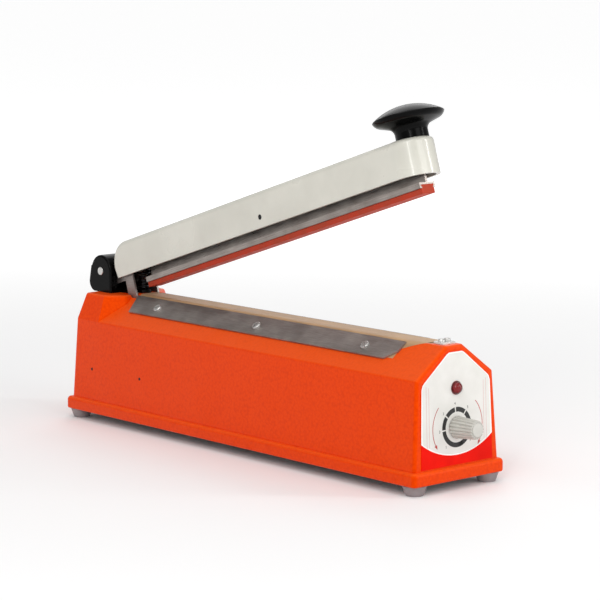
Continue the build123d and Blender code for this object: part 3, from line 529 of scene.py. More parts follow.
@dataclass(frozen=True)
class Rubber(Finish):
    """Vulcanised or silicone rubber: matt, with dusty bloom."""

    bloom: str = "C86A50"
    bloom_size: float = 9.0
    grain: float = 0.9
    grain_depth: float = 0.02

    def pattern(self, tree, shader, place) -> None:
        """Draws the bloom and the fine skin of the mould."""
        dust = self.noise(tree, place, self.bloom_size, 5.0)
        colour = ramp(tree, dust, ((0.4, self.colour), (0.78, self.bloom)))
        tree.links.new(colour, shader.inputs["Base Color"])
        self.vary_roughness(tree, shader, dust, 0.08)
        skin = self.noise(tree, place, self.grain, 2.0)
        self.relief(tree, shader, skin, self.grain_depth, 0.5)


@dataclass(frozen=True)
class CoatedCloth(Finish):
    """Fluoropolymer-coated glass cloth: a fine plain weave under a slightly shiny brown skin.

    The real threads are about 0.4 mm apart, drawn at 0.9 mm so that they show.
    """

    shade: str = "A27E58"
    thread: float = 0.9
    thread_depth: float = 0.05
    thread_share: float = 0.22
    stain: float = 7.0

    def pattern(self, tree, shader, place) -> None:
        """Draws warp and weft and the uneven brown of the coating."""
        threads = []
        for direction in ("X", "Y"):
            threads.append(
                add_node(
                    tree,
                    "ShaderNodeTexWave",
                    values={"Scale": wave_scale(self.thread), "Distortion": 0.4},
                    links={"Vector": place},
                    bands_direction=direction,
                ).outputs["Fac"]
            )
        weave = reckon(tree, "MULTIPLY", reckon(tree, "ADD", *threads), 0.5)
        along = self.stretched(tree, place, (0.25, 1.0, 1.0))
        stains = self.noise(tree, along, self.stain, 5.0)
        mixed = reckon(tree, "MULTIPLY_ADD", weave, self.thread_share, stains)
        colour = ramp(tree, mixed, ((0.35, self.shade), (0.8, self.colour)))
        tree.links.new(colour, shader.inputs["Base Color"])
        self.vary_roughness(tree, shader, stains, 0.08)
        self.relief(tree, shader, weave, self.thread_depth, 0.5)


@dataclass(frozen=True)
class Layered(Finish):
    """Stacked or wound material: laminations, tape turns or copper tracks in even lines."""

    shade: str = "2A2A2C"
    pitch: float = 1.0
    ridge: float = 0.08
    direction: str = "Z"

    def pattern(self, tree, shader, place) -> None:
        """Draws the even lines."""
        lines = add_node(
            tree,
            "ShaderNodeTexWave",
            values={"Scale": wave_scale(self.pitch), "Distortion": 0.6, "Detail": 2.0},
            links={"Vector": place},
            bands_direction=self.direction,
        ).outputs["Fac"]
        colour = ramp(tree, lines, ((0.3, self.shade), (0.7, self.colour)))
        tree.links.new(colour, shader.inputs["Base Color"])
        self.relief(tree, shader, lines, self.ridge, 0.6)


@dataclass(frozen=True)
class Lens(Finish):
    """Clear coloured lens over a lamp."""

    # Painted shade: the lens takes this darker red where it turns away from view.
    rim: str = "3C060A"

    def pattern(self, tree, shader, place) -> None:
        """Draws the lens a little darker towards its rim by viewing angle: painted shade for the
        deep look of the plastic.
        """
        edge = add_node(tree, "ShaderNodeLayerWeight", values={"Blend": 0.35}).outputs["Facing"]
        colour = ramp(tree, edge, ((0.1, self.colour), (0.85, self.rim)))
        tree.links.new(colour, shader.inputs["Base Color"])
        self.vary_roughness(tree, shader, self.noise(tree, place, 3.0), 0.03)


@dataclass(frozen=True)
class PaleFloor(Finish):
    """A white studio floor that glows faintly away from the machine, as a lit sweep does."""

    glow: float = 0.6
    near: float = 0.26
    far: float = 2.4

    def pattern(self, tree, shader, place) -> None:
        """Fades the glow in with the distance from the machine."""
        distance = add_node(
            tree, "ShaderNodeVectorMath", links={0: place}, operation="LENGTH"
        ).outputs["Value"]
        light_amount = add_node(
            tree,
            "ShaderNodeMapRange",
            values={"From Min": self.near, "From Max": self.far, "To Max": self.glow},
            links={"Value": distance},
            interpolation_type="SMOOTHSTEP",
        ).outputs["Result"]
        shader.inputs["Emission Color"].default_value = (1.0, 1.0, 1.0, 1.0)
        tree.links.new(light_amount, shader.inputs["Emission Strength"])


# Hammertone stoving enamel, semi-gloss: dimples catch small broken highlights.
ORANGE_ENAMEL = HammeredEnamel(
    "hammered_orange_enamel", "E84000", 0.36, specular=0.42, specular_tint="FF7A30"
)
# Sprayed grey stoving enamel: smooth, so it shows long soft highlights.
GREY_ENAMEL = SmoothEnamel("smooth_grey_enamel", "D5D3C8", 0.3, coat=0.6, coat_roughness=0.09)
# Cold-rolled steel strip: dark grey, fine lines along its length.
ROLLED_STEEL = DrawnMetal("rolled_steel", "B2ABA6", 0.42, 0.85, shade="867F7B")
# Zinc-plated steel fasteners: bright, slightly uneven.
BRIGHT_ZINC = DrawnMetal(
    "bright_zinc_plate", "E2E1DE", 0.32, 0.85, shade="B9B7B4", grain=(1.0, 1.0, 1.0), line=0.8
)
# Zinc-plated sheet underneath: duller.
ZINC_SHEET = DrawnMetal("zinc_sheet", "B4B7B9", 0.45, 1.0, shade="84888A")
# Extruded aluminium channel: die lines run along the arm.
ALUMINIUM = DrawnMetal(
    "extruded_aluminium", "B8B0AA", 0.36, 1.0, shade="857C76", tilt=17.4, line=0.5
)
# Phenolic moulding: black, polished in the mould.
BLACK_PHENOLIC = Moulding("black_phenolic", "030303", 0.2, shade="070707", specular=0.09)
# ABS moulding: light grey, satin.
GREY_ABS = Moulding("light_grey_abs", "C6C4BD", 0.4, shade="B9B7AF")
WHITE_ABS = Moulding("pale_abs_disc", "CFCDC6", 0.34, shade="C4C2BB")
# Silicone rubber: brick red, matt.
SILICONE = Rubber("red_silicone", "B83416", 0.62, bloom="A04028", specular=0.3)
# Moulded rubber feet: warm light grey.
FOOT_RUBBER = Rubber("grey_foot_rubber", "857A7B", 0.6, bloom="A09798")
BLACK_RUBBER = Rubber("black_rubber", "161616", 0.6, bloom="3A3836")
CLOTH = CoatedCloth("coated_glass_cloth", "C39F78", 0.5, sheen=0.05, specular=0.3)
GLASS_STRIP = CoatedCloth("glass_cloth_strip", "B59C80", 0.7, shade="8E7658")
NICHROME = DrawnMetal("nichrome_ribbon", "9A948D", 0.35, 1.0, shade="5E5650")
BRASS = DrawnMetal("turned_brass", "D0AA58", 0.3, 1.0, shade="8E6E30")
SPRING_STEEL = DrawnMetal("oiled_spring_steel", "3E3E40", 0.3, 1.0, shade="1E1E20")
LENS = Lens(
    "dark_red_lens", "7A0A10", 0.12, coat=0.35, coat_roughness=0.06, ior=1.49, specular=0.3
)
BEZEL = Moulding("dark_red_bezel", "5E0E12", 0.35, shade="4A0A0E")
LAMINATIONS = Layered("varnished_laminations", "55555A", 0.4, 0.6, pitch=0.9)
COIL_TAPE = Layered("polyester_coil_tape", "C9A42E", 0.35, pitch=6.0, shade="9A7A18")
BOARD = Layered("green_glass_epoxy", "2F6E3C", 0.35, pitch=4.0, shade="1F4E2A", direction="X")
PRINT_RED = Moulding(
    "screen_print_red",
    "EE1000",
    0.45,
    shade="E00C00",
    grit=0.3,
    specular=0.25,
    specular_tint="FF5A3C",
)
PRINT_WHITE = Moulding("screen_print_white", "F6F4F0", 0.4, shade="F1EFEA", grit=0.3)
PRINT_FIELD = Moulding("screen_print_off_white", "E4E2DD", 0.42, shade="DAD8D2", grit=0.3)
PRINT_BLACK = Moulding("screen_print_black", "161615", 0.45, shade="201F1E", grit=0.3)
PRINT_PINK = Moulding("screen_print_pink", "D8B4B0", 0.45, shade="CFA8A4", grit=0.3)
PRINT_LINE = Moulding("screen_print_line_red", "B8302A", 0.45, shade="A82820", grit=0.3)

NODE_FINISH = {
    ORANGE_ENAMEL: ["casing"],
    GREY_ENAMEL: ["arm_casting"],
    ROLLED_STEEL: [
        "left_clamp_strip",
        "right_clamp_strip",
        "arm_bracket",
        "switch_bracket",
        "transformer_bracket",
    ],
    BRIGHT_ZINC: [
        "clamp_screws",
        "terminal_screws",
        "hinge_pin",
        "pin_clip",
        "rocker_spacers",
        "striker_pin",
        "handle_stud",
        "handle_nut",
        "arm_bracket_screws",
        "foot_screws",
        "transformer_screws",
        "switch_screws",
        "lamp_nut",
        "potentiometer_nut",
        "front_terminal",
        "switch_pivot",
        "switch_lever",
        "timer_shaft",
    ],
    BLACK_PHENOLIC: [
        "hinge_bracket",
        "handle_knob",
        "relay",
        "microswitch",
        "capacitor",
        "hinge_screws",
        "spring_seat",
    ],
    BEZEL: ["lamp_body"],
    ALUMINIUM: ["pressure_bar"],
    SILICONE: ["silicone_strip"],
    GLASS_STRIP: ["insulation_strip"],
    NICHROME: ["heating_element"],
    BRASS: ["rear_terminal"],
    PRINT_RED: ["control_panel"],
    GREY_ABS: ["timer_knob", "potentiometer", "board_standoffs", "terminal_block"],
    WHITE_ABS: ["timer_knob_cap"],
    LENS: ["lamp_lens"],
    ZINC_SHEET: ["bottom_plate"],
    FOOT_RUBBER: ["front_left_foot", "front_right_foot", "rear_left_foot", "rear_right_foot"],
    BLACK_RUBBER: ["cord_grommet"],
    SPRING_STEEL: ["return_spring", "rocker_pin", "side_rivets"],
    LAMINATIONS: ["transformer_core"],
    COIL_TAPE: ["transformer_coil"],
    BOARD: ["timer_board"],
}


def dress(piece: bpy.types.Object, finish: Finish) -> None:
    """Gives a piece one finish all over.

    Args:
        piece: The piece, a CAD node or a new mesh.
        finish: Its finish.
    """
    piece.data.materials.clear()
    piece.data.materials.append(finish.material())


def start_clean() -> None:
    """Leaves edit mode and deselects everything."""
    if bpy.context.object and bpy.context.object.mode != "OBJECT":
        bpy.ops.object.mode_set(mode="OBJECT")
    bpy.ops.object.select_all(action="DESELECT")


def settle(piece: bpy.types.Object, place: Matrix) -> None:
    """Puts a finished mesh in its place and leaves its object at the origin.

    Args:
        piece: The piece.
        place: Where its own frame stands in the machine's frame.
    """
    piece.data.transform(place)
    piece.matrix_world = Matrix.Identity(4)
    piece.data.update()


def smooth(piece: bpy.types.Object, angle: float = 35.0) -> None:
    """Shades a piece smooth except where it bends sharply.

    Args:
        piece: The piece.
        angle: The bend, in degrees, that stays sharp.
    """
    start_clean()
    piece.select_set(True)
    bpy.context.view_layer.objects.active = piece
    bpy.ops.object.shade_smooth_by_angle(angle=math.radians(angle))


def printed(
    name: str, outline: Sequence[tuple[float, float]], low: float, high: float
) -> bpy.types.Object:
    """Makes one flat printed area from its outline, by filling and extruding it.

    Args:
        name: The piece's name.
        outline: Points across and up, in millimetres, in order.
        low: The height of its back above the panel's face.
        high: The height of its front.

    Returns:
        The piece, in the panel's own frame.
    """
    start_clean()
    bpy.ops.mesh.primitive_circle_add(vertices=len(outline), radius=1.0, fill_type="NGON")
    piece = bpy.context.object
    piece.name = name
    for vertex, (across, up) in zip(piece.data.vertices, outline):
        vertex.co = (across * MM, up * MM, low * MM)
    bpy.ops.object.mode_set(mode="EDIT")
    bpy.ops.mesh.select_all(action="SELECT")
    bpy.ops.mesh.extrude_region_move(
        TRANSFORM_OT_translate={"value": (0.0, 0.0, (high - low) * MM)}
    )
    bpy.ops.mesh.select_all(action="SELECT")
    bpy.ops.mesh.normals_make_consistent(inside=False)
    bpy.ops.object.mode_set(mode="OBJECT")
    return piece


def join(name: str, pieces: Sequence[bpy.types.Object]) -> bpy.types.Object:
    """Joins pieces into one.

    Args:
        name: The joined piece's name.
        pieces: The pieces.

    Returns:
        The joined piece.
    """
    start_clean()
    for piece in pieces:
        piece.select_set(True)
    bpy.context.view_layer.objects.active = pieces[0]
    bpy.ops.object.join()
    pieces[0].name = name
    return pieces[0]


def turned(
    name: str,
    rings: Sequence[tuple[float, float]],
    segments: int = 96,
    flutes: int = 0,
    flute_depth: float = 0.0,
) -> bpy.types.Object:
    """Turns a solid about its own Z by extruding a circle ring by ring.

    Args:
        name: The piece's name.
        rings: Radius and height of each ring, in millimetres, from the first cap to the last.
        segments: How many sides a ring has.
        flutes: How many grooves run down it.
        flute_depth: How deep a groove is, as a share of the radius.

    Returns:
        The piece, in its own frame.
    """
    start_clean()
    radius, height = rings[0]
    bpy.ops.mesh.primitive_circle_add(
        vertices=segments, radius=radius * MM, fill_type="NGON", location=(0, 0, height * MM)
    )
    piece = bpy.context.object
    piece.name = name
    bpy.ops.object.transform_apply(location=True)
    for i, vertex in enumerate(piece.data.vertices):
        swing = math.cos(2 * math.pi * flutes * i / segments) if flutes else -1.0
        inwards = 1.0 - flute_depth * max(0.0, swing + RIB_SHARE) / (1.0 + RIB_SHARE)
        vertex.co.x *= inwards
        vertex.co.y *= inwards
    bpy.ops.object.mode_set(mode="EDIT")
    bpy.ops.mesh.select_all(action="SELECT")
    for next_radius, next_height in rings[1:]:
        bpy.ops.mesh.extrude_region_move(
            TRANSFORM_OT_translate={"value": (0.0, 0.0, (next_height - height) * MM)}
        )
        grow = next_radius / radius
        bpy.ops.transform.resize(
            value=(grow, grow, 1.0), center_override=(0.0, 0.0, next_height * MM)
        )
        radius, height = next_radius, next_height
    bpy.ops.mesh.select_all(action="SELECT")
    bpy.ops.mesh.normals_make_consistent(inside=False)
    bpy.ops.object.mode_set(mode="OBJECT")
    return piece


def arc_points(
    centre: tuple[float, float], radius: float, start: float, end: float, steps: int
) -> list[tuple[float, float]]:
    """Points along an arc.

    Args:
        centre: The arc's centre.
        radius: Its radius.
        start: The first angle in degrees, anticlockwise from the right.
        end: The last angle.
        steps: How many steps it takes.

    Returns:
        The points, from start to end.
    """
    points = []
    for i in range(steps + 1):
        angle = math.radians(start + (end - start) * i / steps)
        points.append(
            (centre[0] + radius * math.cos(angle), centre[1] + radius * math.sin(angle))
        )
    return points


@dataclass
class SealBed:
    """The coated cloth stretched over the seal wire and clamped down both slopes."""

    ridge_half: float = 8.0
    drop: float = 19.0
    slope: float = 36.6
    thickness: float = 0.2
    corner_length: float = 18.5
    corner_drop: float = 9.5
    corner_power: float = 0.82
    tuck: float = 2.0
    rear_slant: float = 0.36
    bend: float = 1.6
    sink: float = 0.09
    wire_half: float = 1.6
    wire_rise: float = 0.06
    pull_depth: float = 0.03
    columns: int = 260
    rows: int = 56

    def build(self) -> bpy.types.Object:
        """Returns:
            The cloth.
        """
        low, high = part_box("ptfe_cloth")
        start_clean()
        bpy.ops.mesh.primitive_grid_add(
            x_subdivisions=self.columns, y_subdivisions=self.rows, size=1.0
        )
        cloth = bpy.context.object
        cloth.name = "bed_cloth"
        half = self.ridge_half + self.drop
        for vertex in cloth.data.vertices:
            across = vertex.co.y * 2 * half
            end = high.x - self.cut_back(abs(across)) * MM
            start = low.x + self.rear_tuck(abs(across)) * MM
            x = start + (vertex.co.x + 0.5) * (end - start)
            y, z = self.section(across, (x - low.x) / MM)
            vertex.co = (x, y * MM, high.z + (z - self.thickness) * MM)
        cloth.data.update()
        thick = cloth.modifiers.new("thickness", "SOLIDIFY")
        thick.thickness = self.thickness * MM
        thick.offset = 1.0
        start_clean()
        bpy.context.view_layer.objects.active = cloth
        cloth.select_set(True)
        bpy.ops.object.modifier_apply(modifier=thick.name)
        smooth(cloth, 50.0)
        dress(cloth, CLOTH)
        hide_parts("ptfe_cloth")
        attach(cloth, Body.BASE.value)
        log.info("bed cloth, %d faces", len(cloth.data.polygons))
        return cloth

    def cut_back(self, across: float) -> float:
        """How far the front edge is cut back at a distance across from the middle.

        Args:
            across: The distance along the cloth from its middle line.

        Returns:
            The length cut away, in millimetres.
        """
        down = max(0.0, across - self.ridge_half)
        share = min(1.0, down / self.corner_drop)
        return self.corner_length * share**self.corner_power

    def rear_tuck(self, across: float) -> float:
        """How far the rear edge is cut back so that the clamp strips cover it.

        Args:
            across: The distance along the cloth from its middle line.

        Returns:
            The length cut away, in millimetres.
        """
        down = max(0.0, across - self.ridge_half - self.tuck)
        return min(self.tuck, down) + down * self.rear_slant

    def section(self, across: float, along: float) -> tuple[float, float]:
        """The cloth's section over the ridge, rounded at the two edges of the ridge.

        Args:
            across: The distance along the cloth from its middle line.
            along: The distance from the rear end.

        Returns:
            Y and Z from the top of the ridge, in millimetres.
        """
        side = math.copysign(1.0, across)
        distance = abs(across)
        tilt = math.radians(self.slope)
        before, after = self.ridge_half - self.bend, self.ridge_half + self.bend
        if distance <= before:
            y, z = distance, 0.0
        elif distance >= after:
            y = self.ridge_half + (distance - self.ridge_half) * math.cos(tilt)
            z = -(distance - self.ridge_half) * math.sin(tilt)
        else:
            share = (distance - before) / (2 * self.bend)
            y = before + (distance - before) * math.cos(tilt * share * 0.5)
            z = -(distance - before) * math.sin(tilt * share * 0.5)
        wire = self.wire_rise * max(0.0, 1 - (distance / self.wire_half) ** 4)
        waves = math.sin(along * 0.21 + distance * 0.3) * math.sin(along * 0.053)
        lift = self.pull_depth * waves if distance > before else 0.0
        return side * y, z + wire + lift - self.sink


@dataclass
class ReturnSpring:
    """The coil spring under the arm, which shortens as the arm closes."""

    wire: float = 0.7
    turns: int = 9
    steps: int = 32
    wire_sides: int = 14
    kept: float = 0.7

    def build(self) -> bpy.types.Object:
        """Winds the spring and attaches it to the base.

        Returns:
            The spring.
        """
        low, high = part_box("return_spring")
        radius = (high.x - low.x) / 2 - self.wire * MM
        height = high.z - low.z - 2 * self.wire * MM
        start_clean()
        bpy.ops.mesh.primitive_circle_add(
            vertices=self.wire_sides,
            radius=self.wire * MM,
            location=(radius, 0, 0),
            rotation=(math.pi / 2, 0, 0),
        )
        spring = bpy.context.object
        spring.name = "return_spring_coil"
        bpy.ops.object.transform_apply(location=True, rotation=True)
        winding = spring.modifiers.new("winding", "SCREW")
        winding.axis = "Z"
        winding.angle = 2 * math.pi
        winding.iterations = self.turns
        winding.screw_offset = height / self.turns
        winding.steps = winding.render_steps = self.steps
        bpy.ops.object.modifier_apply(modifier=winding.name)
        bpy.ops.object.mode_set(mode="EDIT")
        bpy.ops.mesh.select_all(action="SELECT")
        bpy.ops.mesh.remove_doubles(threshold=0.01 * MM)
        bpy.ops.mesh.fill_holes(sides=self.wire_sides)
        bpy.ops.mesh.normals_make_consistent(inside=False)
        bpy.ops.object.mode_set(mode="OBJECT")
        foot = ((low.x + high.x) / 2, 0.0, low.z)
        settle(spring, Matrix.Translation(Vector(foot) + Vector((0, 0, self.wire * MM))))
        smooth(spring, 60.0)
        dress(spring, SPRING_STEEL)
        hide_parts("return_spring")
        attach(spring, Body.BASE.value)
        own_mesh(spring)
        log.info("return spring, %d faces", len(spring.data.polygons))
        return spring


@dataclass
class PanelPrint:
    """The screen print on the front panel: fields, frame lines, dial ring, numbers and arrows."""

    lean: float = 1.918
    foot_up: float = 1.0
    half: float = 34.0
    shoulder_up: float = 61.0
    shoulder_in: float = 4.2
    waist_up: float = 56.0
    waist_in: float = 1.2
    top_up: float = 79.2
    top_half: float = 6.7
    white_low: float = 7.7
    white_side: float = 18.9
    rim: float = 0.9
    lamp_up: float = 54.23
    dial_up: float = 26.92
    ring_outer: float = 14.0
    ring_inner: float = 10.7
    ring_pitch: float = 45.0
    ring_gap: float = 4.6
    number_radius: float = 16.6
    number_size: float = 2.7
    segments: int = 7
    first_angle: float = -130.0
    first_gap: float = 68.0
    arrow_sweeps: tuple = ((138.0, 207.0, 23.0), (42.0, -29.0, 24.6))
    arrow_width: float = 0.55
    head_half: float = 1.25
    head_turn: float = 8.0
    line_places: tuple = ((26.2, 57.0), (28.6, 58.0))
    line_foot: float = 15.5
    line_half: float = 0.16
    lamp_hole: float = 4.85
    dial_hole: float = 6.2
    layer: float = 0.05
    back_sink: float = 0.03
    front_sink: float = 0.035

    def place(self) -> Matrix:
        """Where the panel's face stands: X across, Y up it, Z out of it, from its lower edge."""
        low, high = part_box("control_panel")
        lean = math.radians(self.lean)
        columns = Matrix(
            (
                (0.0, -math.sin(lean), math.cos(lean), high.x),
                (1.0, 0.0, 0.0, 0.0),
                (0.0, math.cos(lean), math.sin(lean), low.z),
                (0.0, 0.0, 0.0, 1.0),
            )
        )
        return columns @ Matrix.Translation((0.0, -self.foot_up * MM, 0.0))

    def build(self) -> None:
        """Makes every printed area, from the panel's face outwards."""
        low, high = self.level(1)
        white = printed("panel_white_rim", self.field_outline(0.0), low, high)
        self.pierce(white)
        self.finish(white, PRINT_WHITE)
        low, high = self.level(2)
        inner = printed("panel_field", self.field_outline(self.rim), low, high)
        self.pierce(inner)
        self.finish(inner, PRINT_FIELD)
        self.frame_lines()
        self.dial_ring()
        self.numbers()
        self.arrows()

    def level(self, number: int) -> tuple[float, float]:
        """The back and front height of one printed layer."""
        back = self.layer * number - self.back_sink
        return back, self.layer * (number + 1) - self.front_sink

    def field_outline(self, inset: float) -> list[tuple[float, float]]:
        """The white field's outline.

        Args:
            inset: How far inside the panel's edge it stays.

        Returns:
            Its points, anticlockwise from the lower left.
        """
        side = self.half - inset
        sag = self.white_side - self.white_low
        radius = (self.half**2 + sag**2) / (2 * sag)
        centre = (0.0, self.white_low + radius)
        reach = math.degrees(math.asin(side / radius))
        bottom = arc_points(centre, radius - inset, 270 - reach, 270 + reach, 40)
        bottom = [(max(-side, min(side, across)), up) for across, up in bottom]
        right = [
            (side - self.waist_in, self.waist_up),
            (side - self.waist_in * 1.9, self.waist_up + 3.2),
            (side - self.shoulder_in, self.shoulder_up),
            (self.top_half + 1.4, self.top_up - inset * 1.2 - 0.9),
            (self.top_half - 0.6, self.top_up - inset),
        ]
        left = [(-across, up) for across, up in reversed(right)]
        return bottom + right + left

    def pierce(self, piece: bpy.types.Object) -> None:
        """Cuts the lamp's and the dial's holes through a printed area.

        Args:
            piece: The printed area, in the panel's frame.
        """
        for up, radius in ((self.lamp_up, self.lamp_hole), (self.dial_up, self.dial_hole)):
            start_clean()
            bpy.ops.mesh.primitive_cylinder_add(
                vertices=64, radius=radius * MM, depth=2 * MM, location=(0, up * MM, 0)
            )
            punch = bpy.context.object
            cut = piece.modifiers.new("hole", "BOOLEAN")
            cut.operation = "DIFFERENCE"
            cut.solver = "EXACT"
            cut.object = punch
            start_clean()
            bpy.context.view_layer.objects.active = piece
            piece.select_set(True)
            bpy.ops.object.modifier_apply(modifier=cut.name)
            bpy.data.objects.remove(punch)

    def frame_lines(self) -> None:
        """Prints the two thin double lines near the sides."""
        strips = []
        low, high = self.level(3)
        for side in (-1, 1):
            for across, top in self.line_places:
                near, far = side * (across - self.line_half), side * (across + self.line_half)
                foot = self.line_foot
                outline = [(near, foot), (far, foot), (far, top), (near, top)]
                strips.append(printed("frame_line", outline, low, high))
        self.finish(join("panel_frame_lines", strips), PRINT_PINK)

    def dial_ring(self) -> None:
        """Prints the black ring segments of the timer scale."""
        low, high = self.level(3)
        segments = []
        centre = (0.0, self.dial_up)
        for i in range(self.segments):
            start = self.first_angle - self.ring_pitch * i + (0.0 if i else self.first_gap)
            end = self.first_angle - self.ring_pitch * (i + 1)
            start -= self.ring_gap / 2
            end += self.ring_gap / 2
            outer = arc_points(centre, self.ring_outer, end, start, 14)
            inner = arc_points(centre, self.ring_inner, start, end, 14)
            segments.append(printed("segment", outer + inner, low, high))
        self.finish(join("dial_ring", segments), PRINT_BLACK)

    def numbers(self) -> None:
        """Prints the scale's numbers at the ends of its segments."""
        low, high = self.level(3)
        made = []
        for i in range(self.segments):
            angle = math.radians(self.first_angle - self.ring_pitch * i)
            start_clean()
            bpy.ops.object.text_add()
            number = bpy.context.object
            number.data.body = str(i + 1)
            number.data.size = self.number_size * MM
            number.data.align_x = "CENTER"
            number.data.align_y = "CENTER"
            number.data.extrude = (high - low) * MM / 2
            bpy.ops.object.convert(target="MESH")
            number.data.transform(
                Matrix.Translation(
                    (
                        self.number_radius * math.cos(angle) * MM,
                        (self.dial_up + self.number_radius * math.sin(angle)) * MM,
                        (low + high) / 2 * MM,
                    )
                )
            )
            made.append(number)
        self.finish(join("dial_numbers", made), PRINT_BLACK)

    def arrows(self) -> None:
        """Prints the two curved arrows beside the dial."""
        low, high = self.level(3)
        centre = (0.0, self.dial_up)
        made = []
        for start, end, radius in self.arrow_sweeps:
            outer = arc_points(centre, radius + self.arrow_width / 2, start, end, 26)
            inner = arc_points(centre, radius - self.arrow_width / 2, end, start, 26)
            made.append(printed("shaft", outer + inner, low, high))
            turn = math.radians(end)
            tip_turn = turn + math.copysign(math.radians(self.head_turn), end - start)
            head = [
                (
                    centre[0] + radius * math.cos(tip_turn),
                    centre[1] + radius * math.sin(tip_turn),
                )
            ]
            for reach in (self.head_half, -self.head_half):
                head.append(
                    (
                        centre[0] + (radius + reach) * math.cos(turn),
                        centre[1] + (radius + reach) * math.sin(turn),
                    )
                )
            made.append(printed("head", head, low, high))
        self.finish(join("dial_arrows", made), PRINT_LINE)

    def finish(self, piece: bpy.types.Object, look: Finish) -> None:
        """Puts a printed area on the panel and dresses it.

        Args:
            piece: The printed area.
            look: Its ink.
        """
        settle(piece, self.place())
        dress(piece, look)
        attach(piece, Body.BASE.value)
        log.info("%s, %d faces", piece.name, len(piece.data.polygons))


@dataclass
class PanelFittings:
    """The domed lamp lens and the fluted timer knob."""

    lamp_rings: tuple = (
        (4.15, 0.95),
        (4.1, 1.5),
        (3.85, 2.3),
        (3.4, 3.0),
        (2.75, 3.6),
        (1.95, 4.05),
        (1.1, 4.3),
        (0.35, 4.38),
    )
    knob_rings: tuple = (
        (7.7, 0.6),
        (7.95, 0.9),
        (7.9, 1.6),
        (7.6, 3.2),
        (6.65, 18.4),
        (6.5, 19.4),
        (6.1, 19.95),
        (5.3, 20.1),
        (4.95, 19.6),
    )
    lamp_sides: int = 48
    flutes: int = 18
    sides_per_flute: int = 10
    flute_depth: float = 0.13

    def build(self, panel: PanelPrint) -> None:
        """Makes both fittings on the panel.

        Args:
            panel: The panel they stand on.
        """
        lens = turned("lamp_dome", self.lamp_rings, self.lamp_sides)
        settle(lens, panel.place() @ Matrix.Translation((0, panel.lamp_up * MM, 0)))
        smooth(lens, 60.0)
        dress(lens, LENS)
        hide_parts("lamp_lens")
        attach(lens, Body.BASE.value)
        sides = self.flutes * self.sides_per_flute
        knob = turned("timer_knob_grip", self.knob_rings, sides, self.flutes, self.flute_depth)
        settle(knob, panel.place() @ Matrix.Translation((0, panel.dial_up * MM, 0)))
        smooth(knob, 40.0)
        dress(knob, GREY_ABS)
        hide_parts("timer_knob")
        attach(knob, Body.DIAL.value)
        log.info("lamp dome and timer knob")


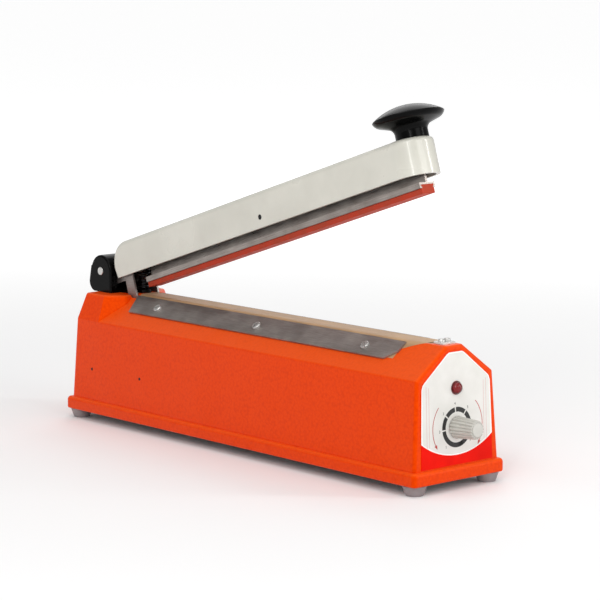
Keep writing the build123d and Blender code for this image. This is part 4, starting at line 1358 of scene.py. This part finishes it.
@dataclass
class Studio:
    """A pale floor, soft boxes and the camera.

    Each soft box is its name, where it hangs in metres, its width, its power in watts and its
    height, which is zero for a square one.
    """

    azimuth: float = 48.87
    elevation: float = 8.3
    roll: float = -0.17
    distance: float = 1.82769
    aim: tuple[float, float, float] = (0.02454, 0.0, 0.11401)
    lens: float = 150.0
    floor_colour: str = "F4F4F4"
    floor_size: float = 60.0
    room_light: float = 0.42
    boxes: tuple = (
        ("key", (0.9, -1.5, 1.5), 1.3, 12.5, 0.0),
        ("front_fill", (1.9, 0.1, 0.9), 1.0, 6.5, 0.0),
        ("rear_fill", (-1.3, 1.3, 1.3), 1.4, 8.0, 0.0),
        ("nose_strip", (1.35, 1.15, 0.75), 0.2, 7.0, 1.2),
        ("side_strip", (1.15, -1.55, 0.85), 0.14, 5.0, 1.2),
        ("overhead", (0.0, 0.0, 2.0), 1.6, 12.0, 0.0),
    )

    def build(self) -> None:
        """Makes the floor, the lights and the camera."""
        self.floor()
        for box in self.boxes:
            self.light(*box)
        self.surroundings()
        self.camera()
        bpy.context.scene.view_settings.view_transform = "Standard"

    def surroundings(self) -> None:
        """Surrounds the machine with a white room that lights it softly."""
        world = bpy.data.worlds.new("studio")
        world.use_nodes = True
        tree = world.node_tree
        path = add_node(tree, "ShaderNodeLightPath")
        strength = add_node(
            tree,
            "ShaderNodeMapRange",
            values={"To Min": self.room_light, "To Max": 1.0},
            links={"Value": path.outputs["Is Camera Ray"]},
        )
        room = tree.nodes["Background"]
        room.inputs["Color"].default_value = (1.0, 1.0, 1.0, 1.0)
        tree.links.new(strength.outputs["Result"], room.inputs["Strength"])
        bpy.context.scene.world = world

    def floor(self) -> None:
        """Lays a wide pale floor under the feet."""
        start_clean()
        bpy.ops.mesh.primitive_plane_add(size=self.floor_size, location=(0, 0, 0))
        floor = bpy.context.object
        floor.name = "studio_floor"
        dress(floor, PaleFloor("pale_floor", self.floor_colour, 0.9, specular=0.1))

    def light(
        self,
        name: str,
        spot: tuple[float, float, float],
        size: float,
        power: float,
        tall: float,
    ) -> None:
        """Hangs one soft box that points at the machine.

        Args:
            name: Its name.
            spot: Where it hangs, in metres.
            size: The width of the box.
            power: Its power in watts.
            tall: Its height, or zero for a square box.
        """
        lamp = bpy.data.lights.new(name, "AREA")
        lamp.shape = "RECTANGLE" if tall else "SQUARE"
        lamp.size = size
        lamp.size_y = tall or size
        lamp.energy = power
        holder = bpy.data.objects.new(name, lamp)
        bpy.context.scene.collection.objects.link(holder)
        holder.location = spot
        aim = Vector(self.aim) - Vector(spot)
        holder.rotation_euler = aim.to_track_quat("-Z", "Y").to_euler()

    def camera(self) -> None:
        """Stands the camera at the viewing angle."""
        turn, rise = math.radians(self.azimuth), math.radians(self.elevation)
        back = Vector(
            (
                math.sin(turn) * math.cos(rise),
                -math.cos(turn) * math.cos(rise),
                math.sin(rise),
            )
        )
        right = Vector((math.cos(turn), math.sin(turn), 0.0))
        up = back.cross(right)
        roll = math.radians(self.roll)
        tilted = right * math.cos(roll) + up * math.sin(roll)
        upright = up * math.cos(roll) - right * math.sin(roll)
        data = bpy.data.cameras.new("studio_camera")
        data.lens = self.lens
        data.sensor_width = 36.0
        data.clip_start, data.clip_end = 0.05, 50.0
        camera = bpy.data.objects.new("studio_camera", data)
        bpy.context.scene.collection.objects.link(camera)
        turnout = Matrix((tilted, upright, back)).transposed().to_4x4()
        camera.matrix_world = Matrix.Translation(Vector(self.aim) + back * self.distance) @ turnout
        bpy.context.scene.camera = camera


def main() -> None:
    """Builds the looks around the fixed frame."""
    logging.basicConfig(level=logging.INFO, format="%(name)s: %(message)s")
    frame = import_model()
    start_clean()
    for finish, names in NODE_FINISH.items():
        for name in names:
            dress(frame["nodes"][name], finish)
    log.info("dressed %d finishes", len(NODE_FINISH))
    SealBed().build()
    ReturnSpring().build()
    panel = PanelPrint()
    panel.build()
    PanelFittings().build(panel)
    Studio().build()


if __name__ == "__main__":
    main()
